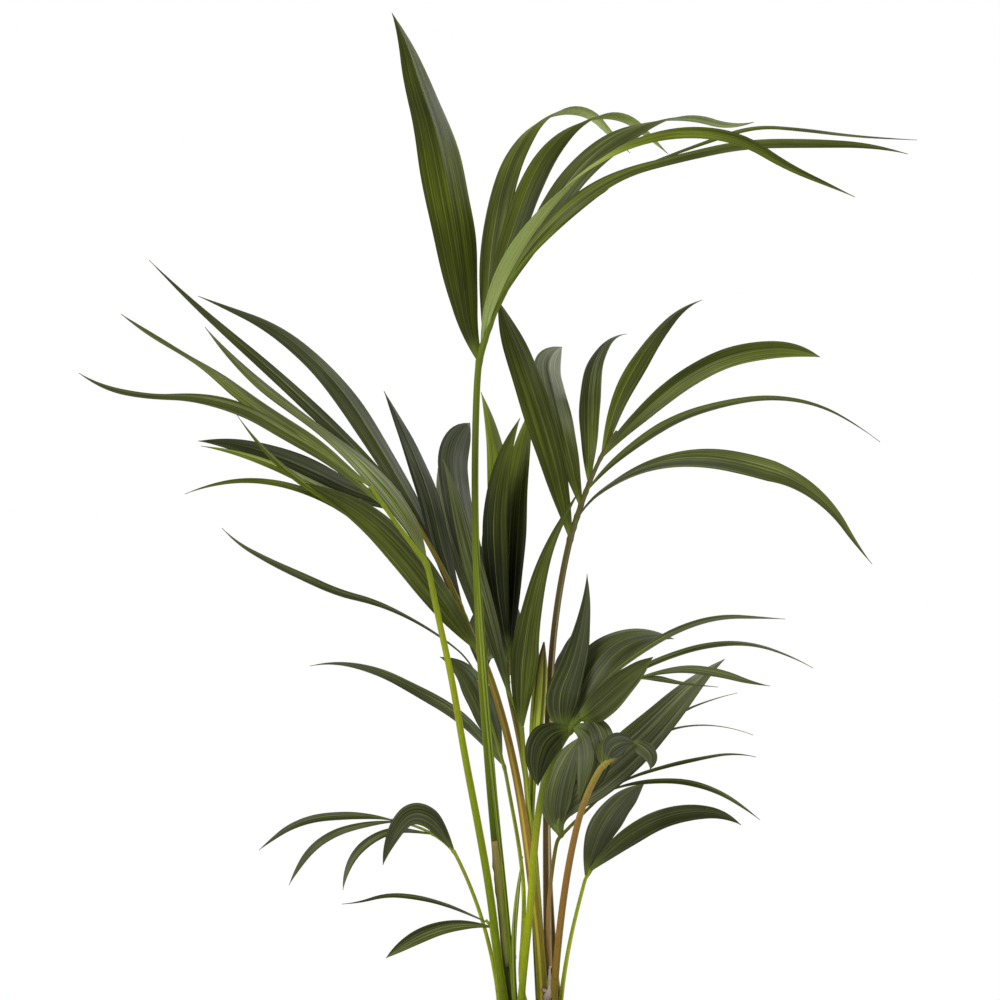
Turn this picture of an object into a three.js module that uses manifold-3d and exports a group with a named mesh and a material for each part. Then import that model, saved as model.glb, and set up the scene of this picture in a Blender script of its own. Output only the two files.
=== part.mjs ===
// A kentia palm in a plain round pot. Millimetres, +Z up, origin at the centre of the
// pot's flat underside, with the front of the plant towards -Y.
//
// Three short stems stand side by side in the compost. Petioles rise from their flat
// tops, and each petiole carries a frond: a rib with long folded leaflets fused to it.

import * as THREE from 'three';
import Module from 'manifold-3d';

const wasm = await Module();
wasm.setup();

// Pot and compost
const POT_HEIGHT = 165;
const POT_TOP_RADIUS = 95;
const POT_BASE_RADIUS = 70;
const POT_WALL = 2.4;
const POT_FLOOR = 3.5;
const RIM_OVERHANG = 5;
const RIM_DEPTH = 16;
const RIM_ROUNDING = 3;
const DRAIN_HOLES = 6;
const DRAIN_RADIUS = 5;
const DRAIN_RING = 48;
const POT_SIDES = 40;
const SOIL_LEVEL = 150;
const CLEARANCE = 0.3;

// Stems: flat cut at the compost, flat top where the petioles stand
const STEM_TOP = 185;
const STEM_SIDES = 20;
const STEM_FLARE = 1.18;

// The front of the crown is laid out as it looks from this far away, at the size that it
// has on the plane of the stems. A place that lies nearer or farther keeps its line of sight.
const VIEW_DISTANCE = 4000;
const VIEW_X = -30;
const VIEW_Z = 695;

// How finely limbs and leaves are divided
const PATH_STEPS = 60;
const PETIOLE_SIDES = 7;
const PETIOLE_RINGS = 9;
const RIB_SIDES = 5;
const RIB_RINGS = 4;
const LEAF_RINGS = 12;
const POINT_RADIUS = 0.05;

// Leaf sections
const LEAF_THICKNESS = 0.0105;
const LEAF_FOLD = 0.22;
const LEAF_ROOT = 0.09;
const THINNEST_LEAF = 1.4;

// Past its root a leaflet leans back from the viewer by so many degrees, less where it is
// rolled already, and is as much wider as the lean hides
const LEAN = 35;
const LEAN_FULL_AT = 0.25;
const NO_LEAN_ROLL = 60;

// Roll of a leaflet that arches over till its underside shows, and of one that starts with
// its underside and twists back
const TURN_OVER = [0, 0, 0, 25, 95, 150];
const TURN_BACK = [145, 138, 115, 82, 60, 50, 40];

const GREEN = 0x3f5222;
const PALE_GREEN = 0x6f8a2e;
const OLIVE = 0x7d6f2c;
const BROWN = 0x6b5638;
const ORANGE = 0x9a7434;

const material = (color, roughness) =>
  new THREE.MeshStandardMaterial({ color, roughness, metalness: 0 });

// Value at t, from 0 to 1, of a list of values that are evenly spaced, joined by straight runs
function alongList(values, t) {
  if (values.length === 1) return values[0];
  const place = Math.min(Math.max(t, 0), 1) * (values.length - 1);
  const index = Math.min(Math.floor(place), values.length - 2);
  return values[index] + (values[index + 1] - values[index]) * (place - index);
}

// The same with smooth runs: a Catmull-Rom spline through the values
function alongSpline(values, t) {
  if (values.length < 3) return alongList(values, t);
  const last = values.length - 1;
  const place = Math.min(Math.max(t, 0), 1) * last;
  const index = Math.min(Math.floor(place), last - 1);
  const u = place - index;
  const b = values[index];
  const c = values[index + 1];
  const a = index > 0 ? values[index - 1] : 2 * b - c;
  const d = index + 2 <= last ? values[index + 2] : 2 * c - b;
  const cubic = -a + 3 * b - 3 * c + d;
  const square = 2 * a - 5 * b + 4 * c - d;
  return 0.5 * (2 * b + (c - a) * u + square * u * u + cubic * u * u * u);
}

// A limb or a leaf's midrib. In the front view it grows along headings that change evenly,
// in degrees from the right hand and anticlockwise, and is then turned and scaled as a whole
// so that it ends at its tip. Depths, towards the viewer, are smooth from foot to tip.
function makePath(foot, tip, headings, depths) {
  const xs = [0];
  const zs = [0];
  for (let i = 0; i < PATH_STEPS; i += 1) {
    const heading = THREE.MathUtils.degToRad(alongList(headings, (i + 0.5) / PATH_STEPS));
    xs.push(xs[i] + Math.cos(heading));
    zs.push(zs[i] + Math.sin(heading));
  }
  const endX = xs[PATH_STEPS];
  const endZ = zs[PATH_STEPS];
  const square = endX * endX + endZ * endZ;
  const dx = tip[0] - foot[0];
  const dz = tip[1] - foot[1];
  const along = (dx * endX + dz * endZ) / square;
  const across = (dz * endX - dx * endZ) / square;
  const front = [];
  const points = [];
  for (let i = 0; i <= PATH_STEPS; i += 1) {
    const x = foot[0] + xs[i] * along - zs[i] * across;
    const z = foot[1] + xs[i] * across + zs[i] * along;
    const depth = alongSpline(depths, i / PATH_STEPS);
    front.push([x, z, depth]);
    points.push(seen(x, z, depth));
  }
  return { front, points };
}

// The place at a depth that shows at x, z on the plane of the stems
function seen(x, z, depth) {
  const scale = (VIEW_DISTANCE - depth) / VIEW_DISTANCE;
  return new THREE.Vector3(
    VIEW_X + (x - VIEW_X) * scale,
    -depth,
    VIEW_Z + (z - VIEW_Z) * scale,
  );
}

// Where a petiole that stands on a stem shows on the plane of the stems
function shownFoot([x, depth]) {
  const scale = (VIEW_DISTANCE - depth) / VIEW_DISTANCE;
  return [VIEW_X + (x - VIEW_X) / scale, VIEW_Z + (STEM_TOP + CLEARANCE - VIEW_Z) / scale];
}

// Places, directions and face normals at even steps along a path. The normal starts as near
// as it can to the viewer and is carried along without twisting.
function framesAlong(points, count) {
  const tangents = points.map((point, i) => {
    const before = points[Math.max(i - 1, 0)];
    const after = points[Math.min(i + 1, points.length - 1)];
    return after.clone().sub(before).normalize();
  });
  const normal = new THREE.Vector3(0, -1, 0);
  const normals = tangents.map((tangent) => {
    normal.addScaledVector(tangent, -normal.dot(tangent)).normalize();
    return normal.clone();
  });
  const frames = [];
  for (let i = 0; i <= count; i += 1) {
    const place = (i / count) * (points.length - 1);
    const index = Math.min(Math.floor(place), points.length - 2);
    const part = place - index;
    frames.push({
      t: i / count,
      at: points[index].clone().lerp(points[index + 1], part),
      along: tangents[index].clone().lerp(tangents[index + 1], part).normalize(),
      face: normals[index].clone().lerp(normals[index + 1], part).normalize(),
    });
  }
  return frames;
}

// A closed surface through rings of equally many points. A ring of one point is a tip.
function loft(rings) {
  const positions = [];
  const starts = rings.map((ring) => {
    const start = positions.length / 3;
    ring.forEach((p) => positions.push(p.x, p.y, p.z));
    return start;
  });
  const sides = Math.max(...rings.map((ring) => ring.length));
  const index = [];
  for (let i = 0; i < rings.length - 1; i += 1) {
    for (let j = 0; j < sides; j += 1) {
      const k = (j + 1) % sides;
      const low = rings[i].length === 1 ? [starts[i], starts[i]] : [starts[i] + j, starts[i] + k];
      const next = starts[i + 1];
      const high = rings[i + 1].length === 1 ? [next, next] : [next + j, next + k];
      if (low[0] !== low[1]) index.push(low[0], low[1], high[1]);
      if (high[0] !== high[1]) index.push(low[0], high[1], high[0]);
    }
  }
  for (const [ring, start, flip] of [
    [rings[0], starts[0], true],
    [rings[rings.length - 1], starts[rings.length - 1], false],
  ]) {
    for (let j = 1; j < ring.length - 1; j += 1) {
      index.push(start, start + (flip ? j + 1 : j), start + (flip ? j : j + 1));
    }
  }
  return { positions, index };
}

// A round limb that tapers through a list of radii. A level foot is cut flat, to stand on.
function limb(points, radii, sides, ringCount, levelFoot = false) {
  const rings = framesAlong(points, ringCount).map(({ t, at, along, face }) => {
    const across = new THREE.Vector3().crossVectors(along, face);
    const radius = alongSpline(radii, t);
    if (radius < POINT_RADIUS) return [at];
    return Array.from({ length: sides }, (_, j) => {
      const angle = (j / sides) * 2 * Math.PI;
      return at.clone()
        .addScaledVector(face, Math.cos(angle) * radius)
        .addScaledVector(across, Math.sin(angle) * radius);
    });
  });
  if (levelFoot) rings[0].forEach((p) => p.setZ(points[0].z));
  return loft(rings);
}

// Share of a leaflet's full width at t: from the narrow root to full width at peak, then to
// the tip, which is blunter the higher the power point is
function leafShape(t, peak, point) {
  if (t < peak) return Math.sin((Math.PI / 2) * (LEAF_ROOT + (1 - LEAF_ROOT) * (t / peak)));
  return 1 - ((t - peak) / (1 - peak)) ** point;
}

// A leaflet: a thin blade, folded along its midrib, which stands above its edges. Roll and
// lean turn its upper face from the viewer to the sky.
function blade(path, { width, roll, peak, point }) {
  const { points, front } = path;
  const length = points.reduce((sum, p, i) => (i ? sum + p.distanceTo(points[i - 1]) : 0), 0);
  const thick = Math.max(length * LEAF_THICKNESS, THINNEST_LEAF) / 2;
  const side = front[front.length - 1][0] >= front[0][0] ? 1 : -1;
  const frames = framesAlong(points, LEAF_RINGS);
  const rings = frames.map(({ t, at, along, face }) => {
    if (t === 1) return [at];
    const rolled = alongSpline(roll, t);
    const room = Math.max(0, 1 - Math.abs(rolled) / NO_LEAN_ROLL);
    const leaning = LEAN * Math.min(t / LEAN_FULL_AT, 1) * room;
    const turn = THREE.MathUtils.degToRad(rolled + leaning);
    const wider = leaning > 0 ? Math.cos(THREE.MathUtils.degToRad(rolled)) / Math.cos(turn) : 1;
    const up = face.clone().applyAxisAngle(along, -side * turn);
    const across = new THREE.Vector3().crossVectors(along, up);
    const half = (width / 2) * wider * leafShape(t, peak, point);
    const rise = half * LEAF_FOLD;
    const section = [[0, rise + thick], [half, 0], [0, rise - thick], [-half, 0]];
    return section.map(([w, h]) => at.clone().addScaledVector(across, w).addScaledVector(up, h));
  });
  return loft(rings);
}

function toSolid({ positions, index }) {
  return new wasm.Manifold(new wasm.Mesh({
    numProp: 3,
    vertProperties: new Float32Array(positions),
    triVerts: new Uint32Array(index),
  }));
}

function toGeometry(positions, index) {
  const geometry = new THREE.BufferGeometry();
  geometry.setAttribute('position', new THREE.Float32BufferAttribute(positions, 3));
  geometry.setIndex(index);
  geometry.computeVertexNormals();
  return geometry;
}

const palm = new THREE.Group();

function addMesh(name, geometry, look) {
  const mesh = new THREE.Mesh(geometry, look);
  mesh.name = name;
  palm.add(mesh);
  return mesh;
}

function addSolid(name, solid, look) {
  const { vertProperties, triVerts } = solid.getMesh();
  addMesh(name, toGeometry(Array.from(vertProperties), Array.from(triVerts)), look);
}

// The solid of a three.js geometry whose seams are merged by place
function geometrySolid(geometry) {
  const { position } = geometry.attributes;
  const places = new Map();
  const positions = [];
  const merged = [];
  for (let i = 0; i < position.count; i += 1) {
    const p = [position.getX(i), position.getY(i), position.getZ(i)];
    const key = p.map((value) => Math.round(value * 1000)).join(' ');
    if (!places.has(key)) {
      places.set(key, positions.length / 3);
      positions.push(...p);
    }
    merged.push(places.get(key));
  }
  const index = [];
  const source = geometry.index ? Array.from(geometry.index.array) : merged.map((_, i) => i);
  for (let i = 0; i < source.length; i += 3) {
    const [a, b, c] = [merged[source[i]], merged[source[i + 1]], merged[source[i + 2]]];
    if (a !== b && b !== c && c !== a) index.push(a, b, c);
  }
  return toSolid({ positions, index });
}

// Turned from three.js's upright Y axis to Z
function latheSolid(profile, sides) {
  const geometry = new THREE.LatheGeometry(profile.map(([r, z]) => new THREE.Vector2(r, z)), sides);
  geometry.rotateX(Math.PI / 2);
  return geometrySolid(geometry);
}

const potRadius = (z) => POT_BASE_RADIUS + (POT_TOP_RADIUS - POT_BASE_RADIUS) * (z / POT_HEIGHT);

function makePot() {
  const lip = POT_TOP_RADIUS + RIM_OVERHANG;
  const lipFoot = POT_HEIGHT - RIM_DEPTH;
  const profile = [
    [0, 0],
    [POT_BASE_RADIUS - 2, 0],
    [POT_BASE_RADIUS, 2],
    [potRadius(lipFoot), lipFoot],
    [lip - 1, lipFoot],
    [lip, lipFoot + 1],
    [lip, POT_HEIGHT - RIM_ROUNDING],
    [lip - RIM_ROUNDING, POT_HEIGHT],
    [POT_TOP_RADIUS - POT_WALL, POT_HEIGHT],
    [potRadius(POT_FLOOR) - POT_WALL, POT_FLOOR],
    [0, POT_FLOOR],
  ];
  let pot = latheSolid(profile, POT_SIDES);
  const hole = new THREE.CylinderGeometry(DRAIN_RADIUS, DRAIN_RADIUS, 4 * POT_FLOOR, 16);
  hole.rotateX(Math.PI / 2);
  for (let i = 0; i < DRAIN_HOLES; i += 1) {
    const angle = (i / DRAIN_HOLES) * 2 * Math.PI;
    const place = [DRAIN_RING * Math.cos(angle), DRAIN_RING * Math.sin(angle), 0];
    pot = pot.subtract(geometrySolid(hole.clone().translate(...place)));
  }
  addSolid('pot', pot, material(0x2e2f2e, 0.6));
}

function makeSoil() {
  const inner = (z) => potRadius(z) - POT_WALL - 2 * CLEARANCE;
  const foot = POT_FLOOR + CLEARANCE;
  const profile = [[0, foot], [inner(foot), foot], [inner(SOIL_LEVEL), SOIL_LEVEL], [0, SOIL_LEVEL]];
  addSolid('soil', latheSolid(profile, POT_SIDES), material(0x2b2018, 0.95));
}

// Stems, by their centre (x and depth) and the radius of their flat top
const stems = {
  stem_left: { centre: [-25, -2], radius: 16 },
  stem_middle: { centre: [-6, 25], radius: 10.5 },
  stem_right: { centre: [20, -2], radius: 17 },
};

function makeStem(name, { centre, radius }) {
  const low = SOIL_LEVEL + CLEARANCE;
  const height = STEM_TOP - low;
  const profile = [
    [0, low],
    [radius * STEM_FLARE, low],
    [radius * 1.08, low + height * 0.25],
    [radius * 1.02, low + height * 0.6],
    [radius, STEM_TOP],
    [0, STEM_TOP],
  ];
  const stem = latheSolid(profile, STEM_SIDES).translate([centre[0], -centre[1], 0]);
  addSolid(name, stem, material(BROWN, 0.85));
}

// One leaflet: seat along the rib, place of the tip [x, z], headings, depths at the middle
// and the tip, width, roll, the place of the full width and the power of the tip
const leaflet = (seat, tip, headings, depths, width, roll = [0], peak = 0.4, point = 1.9) =>
  ({ seat, tip, headings, depths, width, roll, peak, point });

// Each frond: where its petiole stands (x and depth), the petiole's tip, headings, depths
// and radii, the same for the rib that goes on from it, and its leaflets
const fronds = {
  top: {
    color: GREEN,
    foot: [-17, -2], tip: [-52, 833], headings: [96, 95.5, 94, 91, 87],
    depths: [6, 10], radii: [5.8, 4.6, 3.8, 3.4],
    rib: { tip: [78, 1007], headings: [74, 70, 58, 44, 40, 36], depths: [12, 20], radius: 1.1 },
    leaflets: [
      leaflet(0.02, [-138, 1182], [113, 99, 99, 101, 102, 109, 107, 117], [0, -60], 44, [0, 10], 0.45, 2),
      leaflet(0.1, [100, 1042], [84, 84, 82, 78, 70, 53, 15, -49, -45], [-60, -140], 26, TURN_OVER, 0.35),
      leaflet(0.17, [138, 1041], [79, 76, 71, 70, 61, 42, 15, -42, -45], [-35, -95], 26, TURN_OVER),
      leaflet(0.29, [224, 1073], [68, 60, 59, 57, 42, 28, 12, -16, 18], [-10, -50], 27, TURN_OVER, 0.45),
      leaflet(0.06, [325, 998], [86, 71, 58, 49, 40, 26, 9, -10, -33, -24, -25],
        [70, 130], 23, TURN_BACK, 0.25, 2),
      leaflet(0.33, [378, 1041], [67, 48, 35, 15, 12, 1, -2, -15],
        [20, 30], 16, [0, 0, 50, 55, 40, 0], 0.22, 2.5),
      leaflet(0.98, [387, 1055], [41, 22, 20, 18, -4, -8, -4, -3], [-20, -70], 5, [20, 40]),
    ],
  },
  left: {
    color: GREEN,
    foot: [-24, 7], tip: [-102, 630], headings: [100, 96, 100, 101, 99, 103, 100],
    depths: [30, 60], radii: [5, 4.2, 3.4, 2.9],
    rib: { tip: [-160, 709], headings: [131, 127], depths: [68, 78], radius: 1.6 },
    leaflets: [
      leaflet(0.75, [-451, 822], [139, 140, 151, 150, 167, 181, 169, 146],
        [95, 120], 14, [0, 10, 25, 60, 15], 0.4, 2.6),
      leaflet(1, [-409, 881], [144, 141, 148, 146, 141, 148, 149, 143],
        [85, 95], 14, [0, 0, 20, 65, 10], 0.35, 2.6),
      leaflet(0.03, [-325, 868], [106, 122, 133, 140, 144, 142, 135, 128],
        [50, 20], 20, [0, 10, 60, 35, 10], 0.25, 2.2),
    ],
  },
  left_back: {
    color: OLIVE,
    foot: [13, 8], tip: [-43, 527], headings: [92, 97, 98, 103, 110],
    depths: [0, -45], radii: [5, 4.6, 4, 3.6],
    rib: { tip: [-132, 703], headings: [114, 110, 118, 120], depths: [-65, -85], radius: 1.6 },
    leaflets: [
      leaflet(0.1, [-225, 712], [129, 126, 127, 135, 148, 157], [5, 25], 31, [0], 0.4, 2.3),
      leaflet(0.28, [-146, 804], [112, 107, 102, 110, 114, 115], [-95, -120], 21, [0, 15], 0.45),
      leaflet(0.33, [-332, 899], [112, 114, 120, 121, 123, 131, 142, 157, 158],
        [-130, -190], 23, [0, 15], 0.55, 1.8),
      leaflet(0.85, [-332, 754], [148, 163, 153, 158, 166, 179], [-50, -20], 24, [0, 10], 0.5, 1.7),
      leaflet(0.93, [-329, 749], [175, 176, 154, 155, 164, 172], [-35, -5], 10, [0, 10], 0.5),
      leaflet(1, [-381, 935], [133, 138, 137, 140, 138, 135], [-105, -130], 14, [0, 10], 0.35, 1.5),
      leaflet(0.38, [-293, 780], [133, 136, 145, 141, 146, 146, 139, 129, 123],
        [-25, 10], 8, [0, 10], 0.4, 2.5),
      leaflet(0.35, [-345, 701], [131, 135, 143, 144, 150, 161, 174, 190, 202],
        [-30, 30], 7, [10, 20], 0.4, 2.5),
    ],
  },
  right: {
    color: BROWN,
    foot: [19.5, -13], tip: [40, 656], headings: [92, 91, 90, 86, 77],
    depths: [-38, -60], radii: [4.4, 3.9, 3.5, 3.2],
    rib: { tip: [87, 764], headings: [74, 71, 66, 55], depths: [-68, -74], radius: 1.5 },
    leaflets: [
      leaflet(0.02, [-32, 895], [103, 104, 107, 109, 112, 108], [-45, -30], 30, [0], 0.48, 3.2),
      leaflet(0.3, [32, 848], [101, 100, 101, 101, 99, 20], [-75, -190], 27, [0], 0.6, 5),
      leaflet(0.5, [97, 861], [93, 88, 90, 88, 79, 55, 5], [-110, -160], 22, [0, 10], 0.5, 2.3),
      leaflet(0.77, [172, 895], [75, 72, 62, 56, 48, 19], [-100, -140], 20, [0, 15], 0.5, 1.5),
      leaflet(0.73, [290, 838], [51, 43, 38, 22, 4, -20], [-65, -50], 20, [0, 10], 0.45, 5),
      leaflet(0.42, [350, 753], [52, 39, 31, 16, 7, -10, -30, -39], [-15, 50], 9, [0, 10], 0.3, 0.9),
      leaflet(0.1, [342, 631], [69, 37, 23, 5, -10, -17, -38, -57, -50],
        [0, 90], 18, [75, 65, 30, 0, 0, 0], 0.62, 0.85),
      leaflet(0.2, [260, 724], [51, 39, 26, 12, -3, -14, -28], [-30, -40], 4, [30], 0.5),
    ],
  },
  centre: {
    color: PALE_GREEN,
    foot: [14.5, -1], tip: [-8, 465], headings: [95, 93, 93, 98, 95, 94],
    depths: [-9, -12], radii: [3.1, 2.9, 2.6, 2.4],
    rib: { tip: [-23, 505], headings: [100, 120], depths: [-14, -16], radius: 1.4 },
    leaflets: [
      leaflet(0.05, [51, 707], [92, 86, 83, 78, 72, 62, 58], [0, 15], 28, [0], 0.3, 0.9),
      leaflet(0.9, [-87, 736], [104, 105, 105, 103, 108], [-26, -45], 20, [0], 0.5),
    ],
  },
  back: {
    color: OLIVE,
    foot: [11, -11.5], tip: [-22, 505], headings: [92, 97, 98, 103, 108],
    depths: [-50, -110], radii: [3.8, 3.4, 3, 2.6],
    rib: { tip: [-20, 556], headings: [95, 85], depths: [-130], radius: 1.4 },
    leaflets: [
      leaflet(0.6, [4, 793], [89, 88, 87, 80, 72], [-145, -155], 30, [0], 0.5),
      leaflet(0.7, [-10, 777], [97, 93, 88, 75, 60], [-125, -110], 26, [0], 0.5),
      leaflet(0.5, [-67, 771], [102, 105, 104, 97, 82], [-140, -230], 27, [0], 0.7, 4),
      leaflet(0.15, [-92, 727], [114, 110, 106, 100], [-150, -210], 18, [0], 0.7, 2.6),
      leaflet(0.9, [-49, 803], [92, 90, 88, 95, 105], [-190, -210], 28, [0], 0.45),
    ],
  },
  front: {
    color: PALE_GREEN,
    foot: [-10, 28], tip: [34, 456], headings: [84, 82, 85, 80, 56],
    depths: [50, 90], radii: [4, 3.8, 3.6, 3.2],
    rib: { tip: [108, 517], headings: [62, 42, 28], depths: [95, 105], radius: 1.4 },
    leaflets: [
      leaflet(0.08, [57, 621], [125, 84, 66, 73, 78, 82, 90], [85, 70], 33, [0], 0.35, 1),
      leaflet(0.1, [144, 556], [80, 74, 55, 20, -12], [80, 50], 38, [0], 0.6),
      leaflet(0.1, [255, 576], [63, 51, 37, 30, 16, -3, -4], [120, 150], 6, [10, 30], 0.5),
      leaflet(0.2, [283, 527], [57, 39, 26, 18, 3, -18, -29], [95, 65], 6, [10, 30], 0.5),
      leaflet(0.25, [123, 538], [34, 44, 46, 46], [135, 160], 31, [0, 20], 0.5),
      leaflet(1, [240, 509], [17, 8, -9, -18, -9], [125, 170], 8, [10, 30], 0.55, 1.4),
      leaflet(0.98, [188, 508], [10, -12, -5, -4], [110, 120], 6, [20, 40], 0.3, 0.9),
      leaflet(0.12, [8, 409], [150, 190, 240, 262, 265], [118, 130], 18, [0, 20], 0.5),
      leaflet(0.14, [49, 394], [25, -40, -78, -90, -98], [115, 122], 29, [0, 20], 0.4),
      leaflet(0.3, [71, 428], [-10, -50, -85, -92], [118, 120], 18, [0, 20], 0.5),
    ],
  },
  front_right: {
    color: ORANGE,
    foot: [23, 6], tip: [70, 426], headings: [89, 87, 84, 79, 62],
    depths: [60, 150], radii: [4.2, 3.9, 3.5, 3],
    rib: { tip: [102, 453], headings: [48, 40], depths: [165, 175], radius: 1.6 },
    leaflets: [
      leaflet(1, [120, 426], [-5, -30, -100], [185, 192], 14, [0, 30], 0.4),
      leaflet(0.25, [104, 452], [74, 45, 0, -32], [178, 185], 18, [0, 20], 0.5),
      leaflet(0.12, [74, 457], [95, 80], [148, 145], 12, [0], 0.5),
    ],
  },
  middle_right: {
    color: BROWN,
    foot: [21, -4], tip: [27, 355], headings: [90, 89, 82, 76],
    depths: [-2, 0], radii: [2.4, 2.2, 2, 1.9],
    rib: { tip: [76, 403], headings: [44, 40], depths: [2, 5], radius: 1.3 },
    leaflets: [
      leaflet(0.08, [195, 536], [118, 56, 41, 42, 44, 47, 49, 48, 45, 37], [25, 40], 35, [0], 0.35),
      leaflet(0.1, [50, 458], [125, 90, 72, 62], [8, 5], 32, [0], 0.45),
      leaflet(0.95, [207, 502], [48, 50, 45, 21, 12], [-25, -50], 4, [20, 40]),
      leaflet(0.95, [223, 460], [59, 53, 32, 9, -8, -22], [-30, -70], 4, [20, 40]),
      leaflet(1, [226, 438], [37, 19, 14, 10, -13], [0, 20], 4.5, [20, 40], 0.5),
      leaflet(1, [230, 375], [24, 9, -1, -17, -32, -39], [10, 50], 6, [20, 40], 0.5),
    ],
  },
  low_right: {
    color: PALE_GREEN,
    foot: [30, 0], tip: [55, 315], headings: [84, 80, 76, 74],
    depths: [-20, -50], radii: [2.2, 2.1, 1.9, 1.8],
    rib: { tip: [66, 333], headings: [60, 45], depths: [-55], radius: 1.2 },
    leaflets: [
      leaflet(0.2, [114, 411], [78, 70, 52, 32], [-75, -100], 31, [0], 0.55, 2.4),
      leaflet(0.5, [211, 370], [44, 38, 28, 12, -7, -39], [-45, -10], 19, [0], 0.35, 2.2),
    ],
  },
  low_left: {
    color: PALE_GREEN,
    foot: [-30, -7], tip: [-75, 342], headings: [96, 101, 106, 112, 117],
    depths: [-8, -3, 30], radii: [2.3, 2.1, 1.9, 1.8],
    rib: { tip: [-138, 375], headings: [125, 145, 158, 167], depths: [50, 70], radius: 1.1 },
    leaflets: [
      leaflet(1, [-271, 345], [167, 177, 183, 195, 215, 220], [95, 120], 8, [20, 50], 0.4, 2.4),
      leaflet(0.9, [-241, 310], [180, 188, 196, 216, 236, 244], [100, 150], 7, [20, 40], 0.5, 2.2),
      leaflet(0.4, [-187, 305], [169, 172, 199, 221, 246, 264], [90, 120], 7, [20, 40], 0.55, 2),
      leaflet(0.03, [-147, 330], [121, 122, 132, 168, 227, 243, 251, 260], [75, 100], 17, [0, 20], 0.4),
    ],
  },
  lowest_left: {
    color: PALE_GREEN,
    foot: [-26, -3], tip: [-39, 268], headings: [100, 99],
    depths: [5], radii: [2.2, 2, 1.8],
    rib: { tip: [-44, 275], headings: [125, 140], depths: [8], radius: 1.3 },
    leaflets: [
      leaflet(0.6, [-188, 291], [155, 157, 165, 175, 196, 183], [15, 30], 5, [20, 40], 0.6, 1.4),
      leaflet(0, [-144, 237], [167, 180, 196, 209, 216], [30, 70], 12, [10, 20], 0.55, 2.4),
    ],
  },
  far_left: {
    color: PALE_GREEN,
    foot: [-1, 20], tip: [-25, 426], headings: [115, 85, 88, 97, 101, 100],
    depths: [0, -60], radii: [2.3, 2.2, 2, 1.8],
    rib: { tip: [-52, 515], headings: [108, 106], depths: [-68, -75], radius: 1.2 },
    leaflets: [
      leaflet(0.03, [-220, 529], [127, 134, 151, 153, 169, 193], [-95, -130], 13, [0, 10], 0.35),
      leaflet(0.15, [-90, 538], [106, 106, 118, 160], [-75, -85], 28, [0], 0.5),
      leaflet(1, [-308, 667], [110, 142, 150, 157, 167, 157, 156, 152, 134], [-100, -150], 7, [0, 20], 0.3),
    ],
  },
  rear_right: {
    color: BROWN,
    foot: [29, -11], tip: [18, 490], headings: [95, 91, 88],
    depths: [-60, -140], radii: [3.2, 2.9, 2.6, 2.3],
    rib: { tip: [60, 505], headings: [30, 10], depths: [-170, -200], radius: 1.3 },
    leaflets: [
      leaflet(0.2, [50, 570], [95, 84, 75], [-230, -300], 20, [0], 0.5),
      leaflet(0.6, [90, 545], [50, 40, 20], [-260, -330], 20, [0], 0.5),
      leaflet(1, [84, 485], [20, -30, -80], [-280, -340], 20, [0], 0.5),
      leaflet(0.5, [40, 420], [-20, -90, -120], [-250, -310], 22, [0], 0.5),
    ],
  },
  rear_left: {
    color: OLIVE,
    foot: [-19, -12], tip: [-45, 500], headings: [96, 94, 93],
    depths: [-60, -140], radii: [3.2, 2.9, 2.6, 2.3],
    rib: { tip: [-40, 570], headings: [93, 85], depths: [-180, -210], radius: 1.3 },
    leaflets: [
      leaflet(1, [-30, 740], [90, 88], [-260, -300], 26, [0], 0.5),
      leaflet(0.7, [-62, 700], [100, 110, 90], [-280, -340], 22, [0], 0.5),
      leaflet(0.5, [-20, 600], [60, 80, 120], [-280, -360], 22, [0], 0.5),
      leaflet(0.3, [-50, 590], [110, 100, 90], [-260, -350], 22, [0], 0.5),
      leaflet(0.8, [-28, 520], [90, 30, -60], [-260, -320], 22, [0], 0.5),
    ],
  },
};

const largestPiece = (solid) =>
  solid.decompose().reduce((best, piece) => (piece.volume() > best.volume() ? piece : best));

// The frond is kept clear of its petiole by a sleeve a little thicker than the petiole
function makeFrond(name, frond) {
  const foot = shownFoot(frond.foot);
  const depths = [frond.foot[1], ...frond.depths];
  const petiole = makePath(foot, frond.tip, frond.headings, depths);
  const radii = frond.radii;
  const stalk = limb(petiole.points, radii, PETIOLE_SIDES, PETIOLE_RINGS, true);
  addSolid(`petiole_${name}`, toSolid(stalk), material(frond.color, 0.5));

  const { rib } = frond;
  const start = petiole.points[PATH_STEPS];
  const direction = start.clone().sub(petiole.points[PATH_STEPS - 1]).normalize();
  const ribDepths = [frond.depths[frond.depths.length - 1], ...rib.depths];
  const path = makePath(frond.tip, rib.tip, rib.headings, ribDepths);
  const points = path.points.map((p) => p.clone().addScaledVector(direction, CLEARANCE));
  const ribRadii = [radii[radii.length - 1], rib.radius];
  let solid = toSolid(limb(points, ribRadii, RIB_SIDES, RIB_RINGS));
  for (const leaf of frond.leaflets) {
    const [x, z, depth] = path.front[Math.round(leaf.seat * PATH_STEPS)];
    const leafPath = makePath([x, z], leaf.tip, leaf.headings, [depth, ...leaf.depths]);
    solid = solid.add(toSolid(blade(leafPath, leaf)));
  }
  const beyond = start.clone().addScaledVector(direction, CLEARANCE);
  const sleeveRadii = radii.map((radius) => radius + CLEARANCE);
  const sleevePath = [...petiole.points.slice(0, -1), beyond];
  const sleeve = toSolid(limb(sleevePath, sleeveRadii, PETIOLE_SIDES, PETIOLE_RINGS));
  addSolid(`frond_${name}`, largestPiece(solid.subtract(sleeve)), material(GREEN, 0.55));
}

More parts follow.
